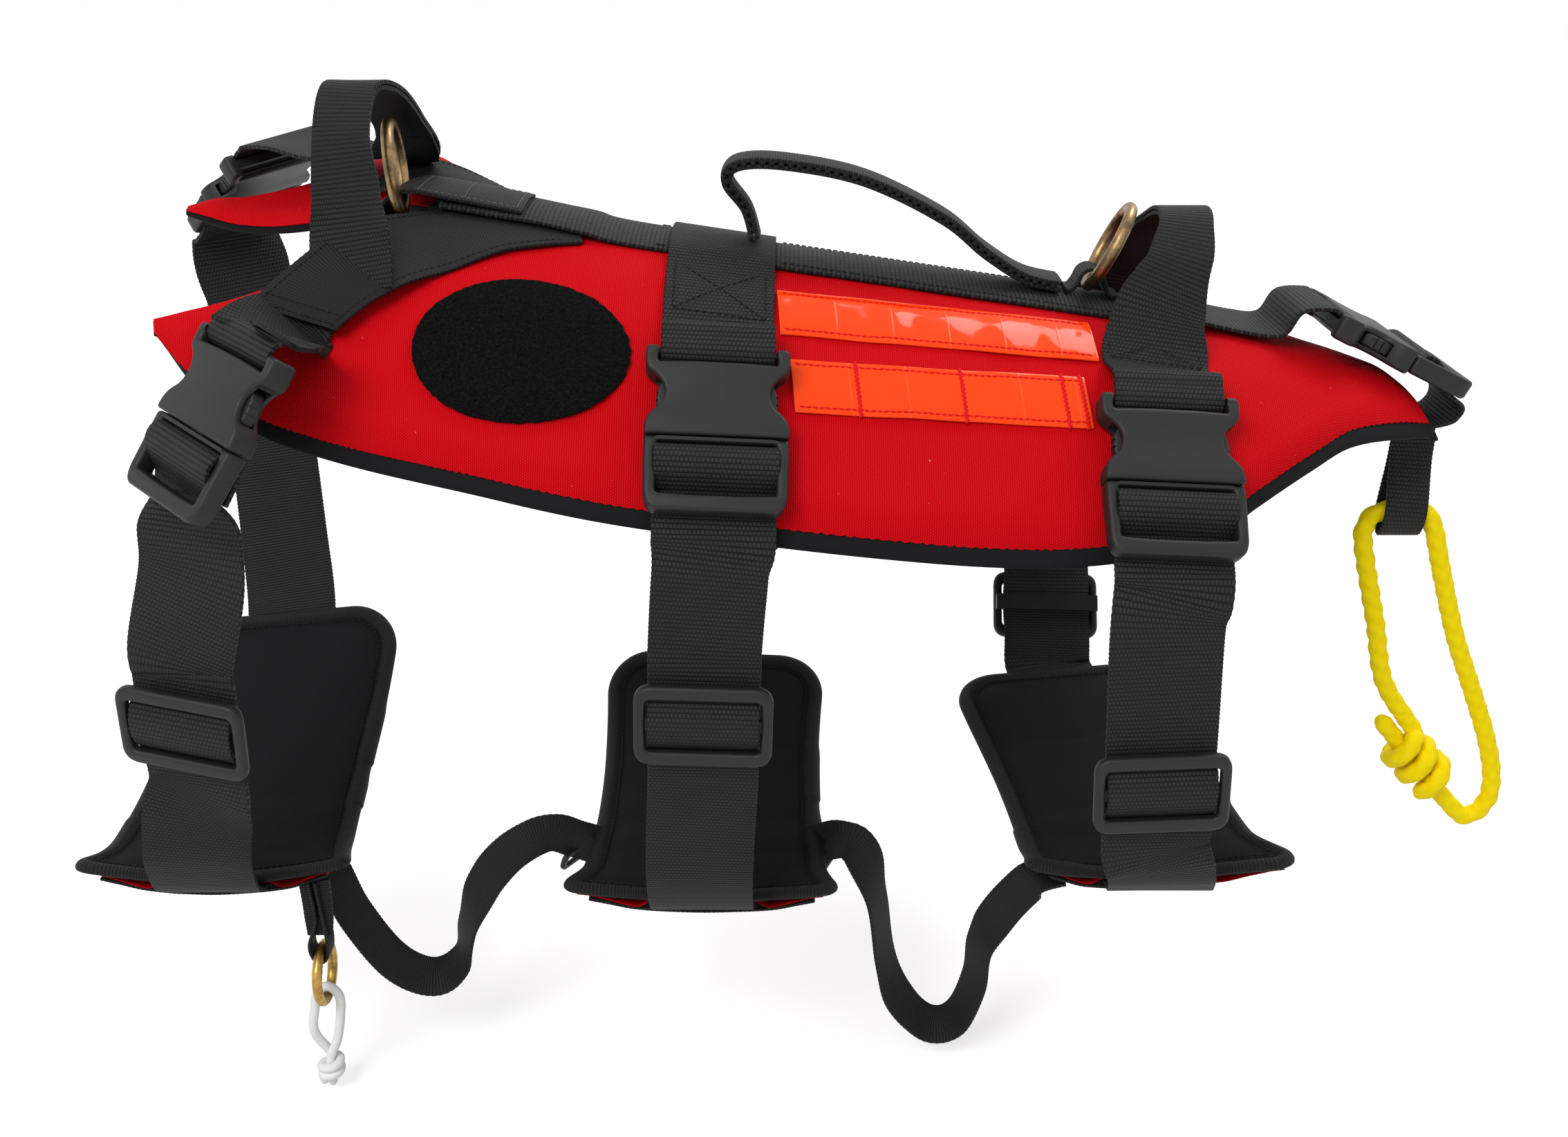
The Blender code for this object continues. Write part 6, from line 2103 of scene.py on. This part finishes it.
sew("ring_tab_seams", stitch(2.4, 0.6, 0.55), places, grey_thread)
print("webbing sewn")

# %% [markdown]
# The yoke band has a line of stitches just inside each edge, and two across the hem at its end.

# %% Yoke seams
def yoke_seam(knots, across, slant, start, stop):
    """Line along a yoke, at a share of its width, from start to as far as stop from its end."""
    rows, length = flat_rows(knots, MM)
    line = []
    for index, (point, width, ahead) in enumerate(rows):
        walked = index * length / (len(rows) - 1)
        if start <= walked <= length - stop:
            spot_at = point + beside(width, ahead) * (across - 0.5)
            spot_at += ahead * skew(across, walked - length, slant)
            line.append((spot_at.x, spot_at.y, spot_at.z + SEAM_RISE))
    return laid_line(line, YOKE_PITCH)


def hem_seam(knots, slant, back):
    """Line across a yoke, a number of rows back from its end."""
    rows, _ = flat_rows(knots, MM)
    point, width, ahead = rows[len(rows) - 1 - back]
    line = []
    for step in range(13):
        across = 0.04 + 0.92 * step / 12
        spot_at = point + beside(width, ahead) * (across - 0.5) + ahead * (slant * (0.5 - across))
        line.append((spot_at.x, spot_at.y, spot_at.z + SEAM_RISE))
    return laid_line(line, YOKE_PITCH)


places = []
for word, slant in YOKE_SLANTS.items():
    for across in (0.08, 0.92):
        places += yoke_seam(YOKES[word], across, slant, 8 * MM, 4 * MM)
    for back in (3, 9):
        places += hem_seam(YOKES[word], slant, back)
sew("yoke_seams", stitch(2.4, 0.7, 0.6), places, black_thread)
print("yokes sewn")

# %% [markdown]
# The binding of each pad is held by one line of stitches near its inner edge.

# %% Pad seams
for word in PADS:
    line, ways = [], []
    for index, place in enumerate(pad_outline(word, 2.0 * BIND + 0.1 * MM, 2.0 * MM)):
        wander = 0.35 * MM * noise.noise(Vector((index * 0.15, 0.4, 0.0)))
        point, inward = on_pad(word, place.x + wander, place.y + wander, PAD_FLOOR + PAD_EDGE + 0.9 * MM)
        line.append(point)
        ways.append(inward)
    places = along_line(line, ways, SEAM_PITCH, 0.1)
    sew(word + "_pad_seam", stitch(2.6, 0.8, 1.2), places, black_thread)
print("pads sewn")

# %% [markdown]
# The dressed harness keeps the size of its solids; cloth may stand a little proud of them.
# Both boxes are written down so that they can be compared.

# %% Sizes and the end
new_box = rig.bounds()
sizes = {"cad": [list(corner) for corner in cad_box], "visual": [list(corner) for corner in new_box]}
with open("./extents.json", "w") as note:
    json.dump(sizes, note)
print("dressed box", [[round(value, 4) for value in corner] for corner in new_box])
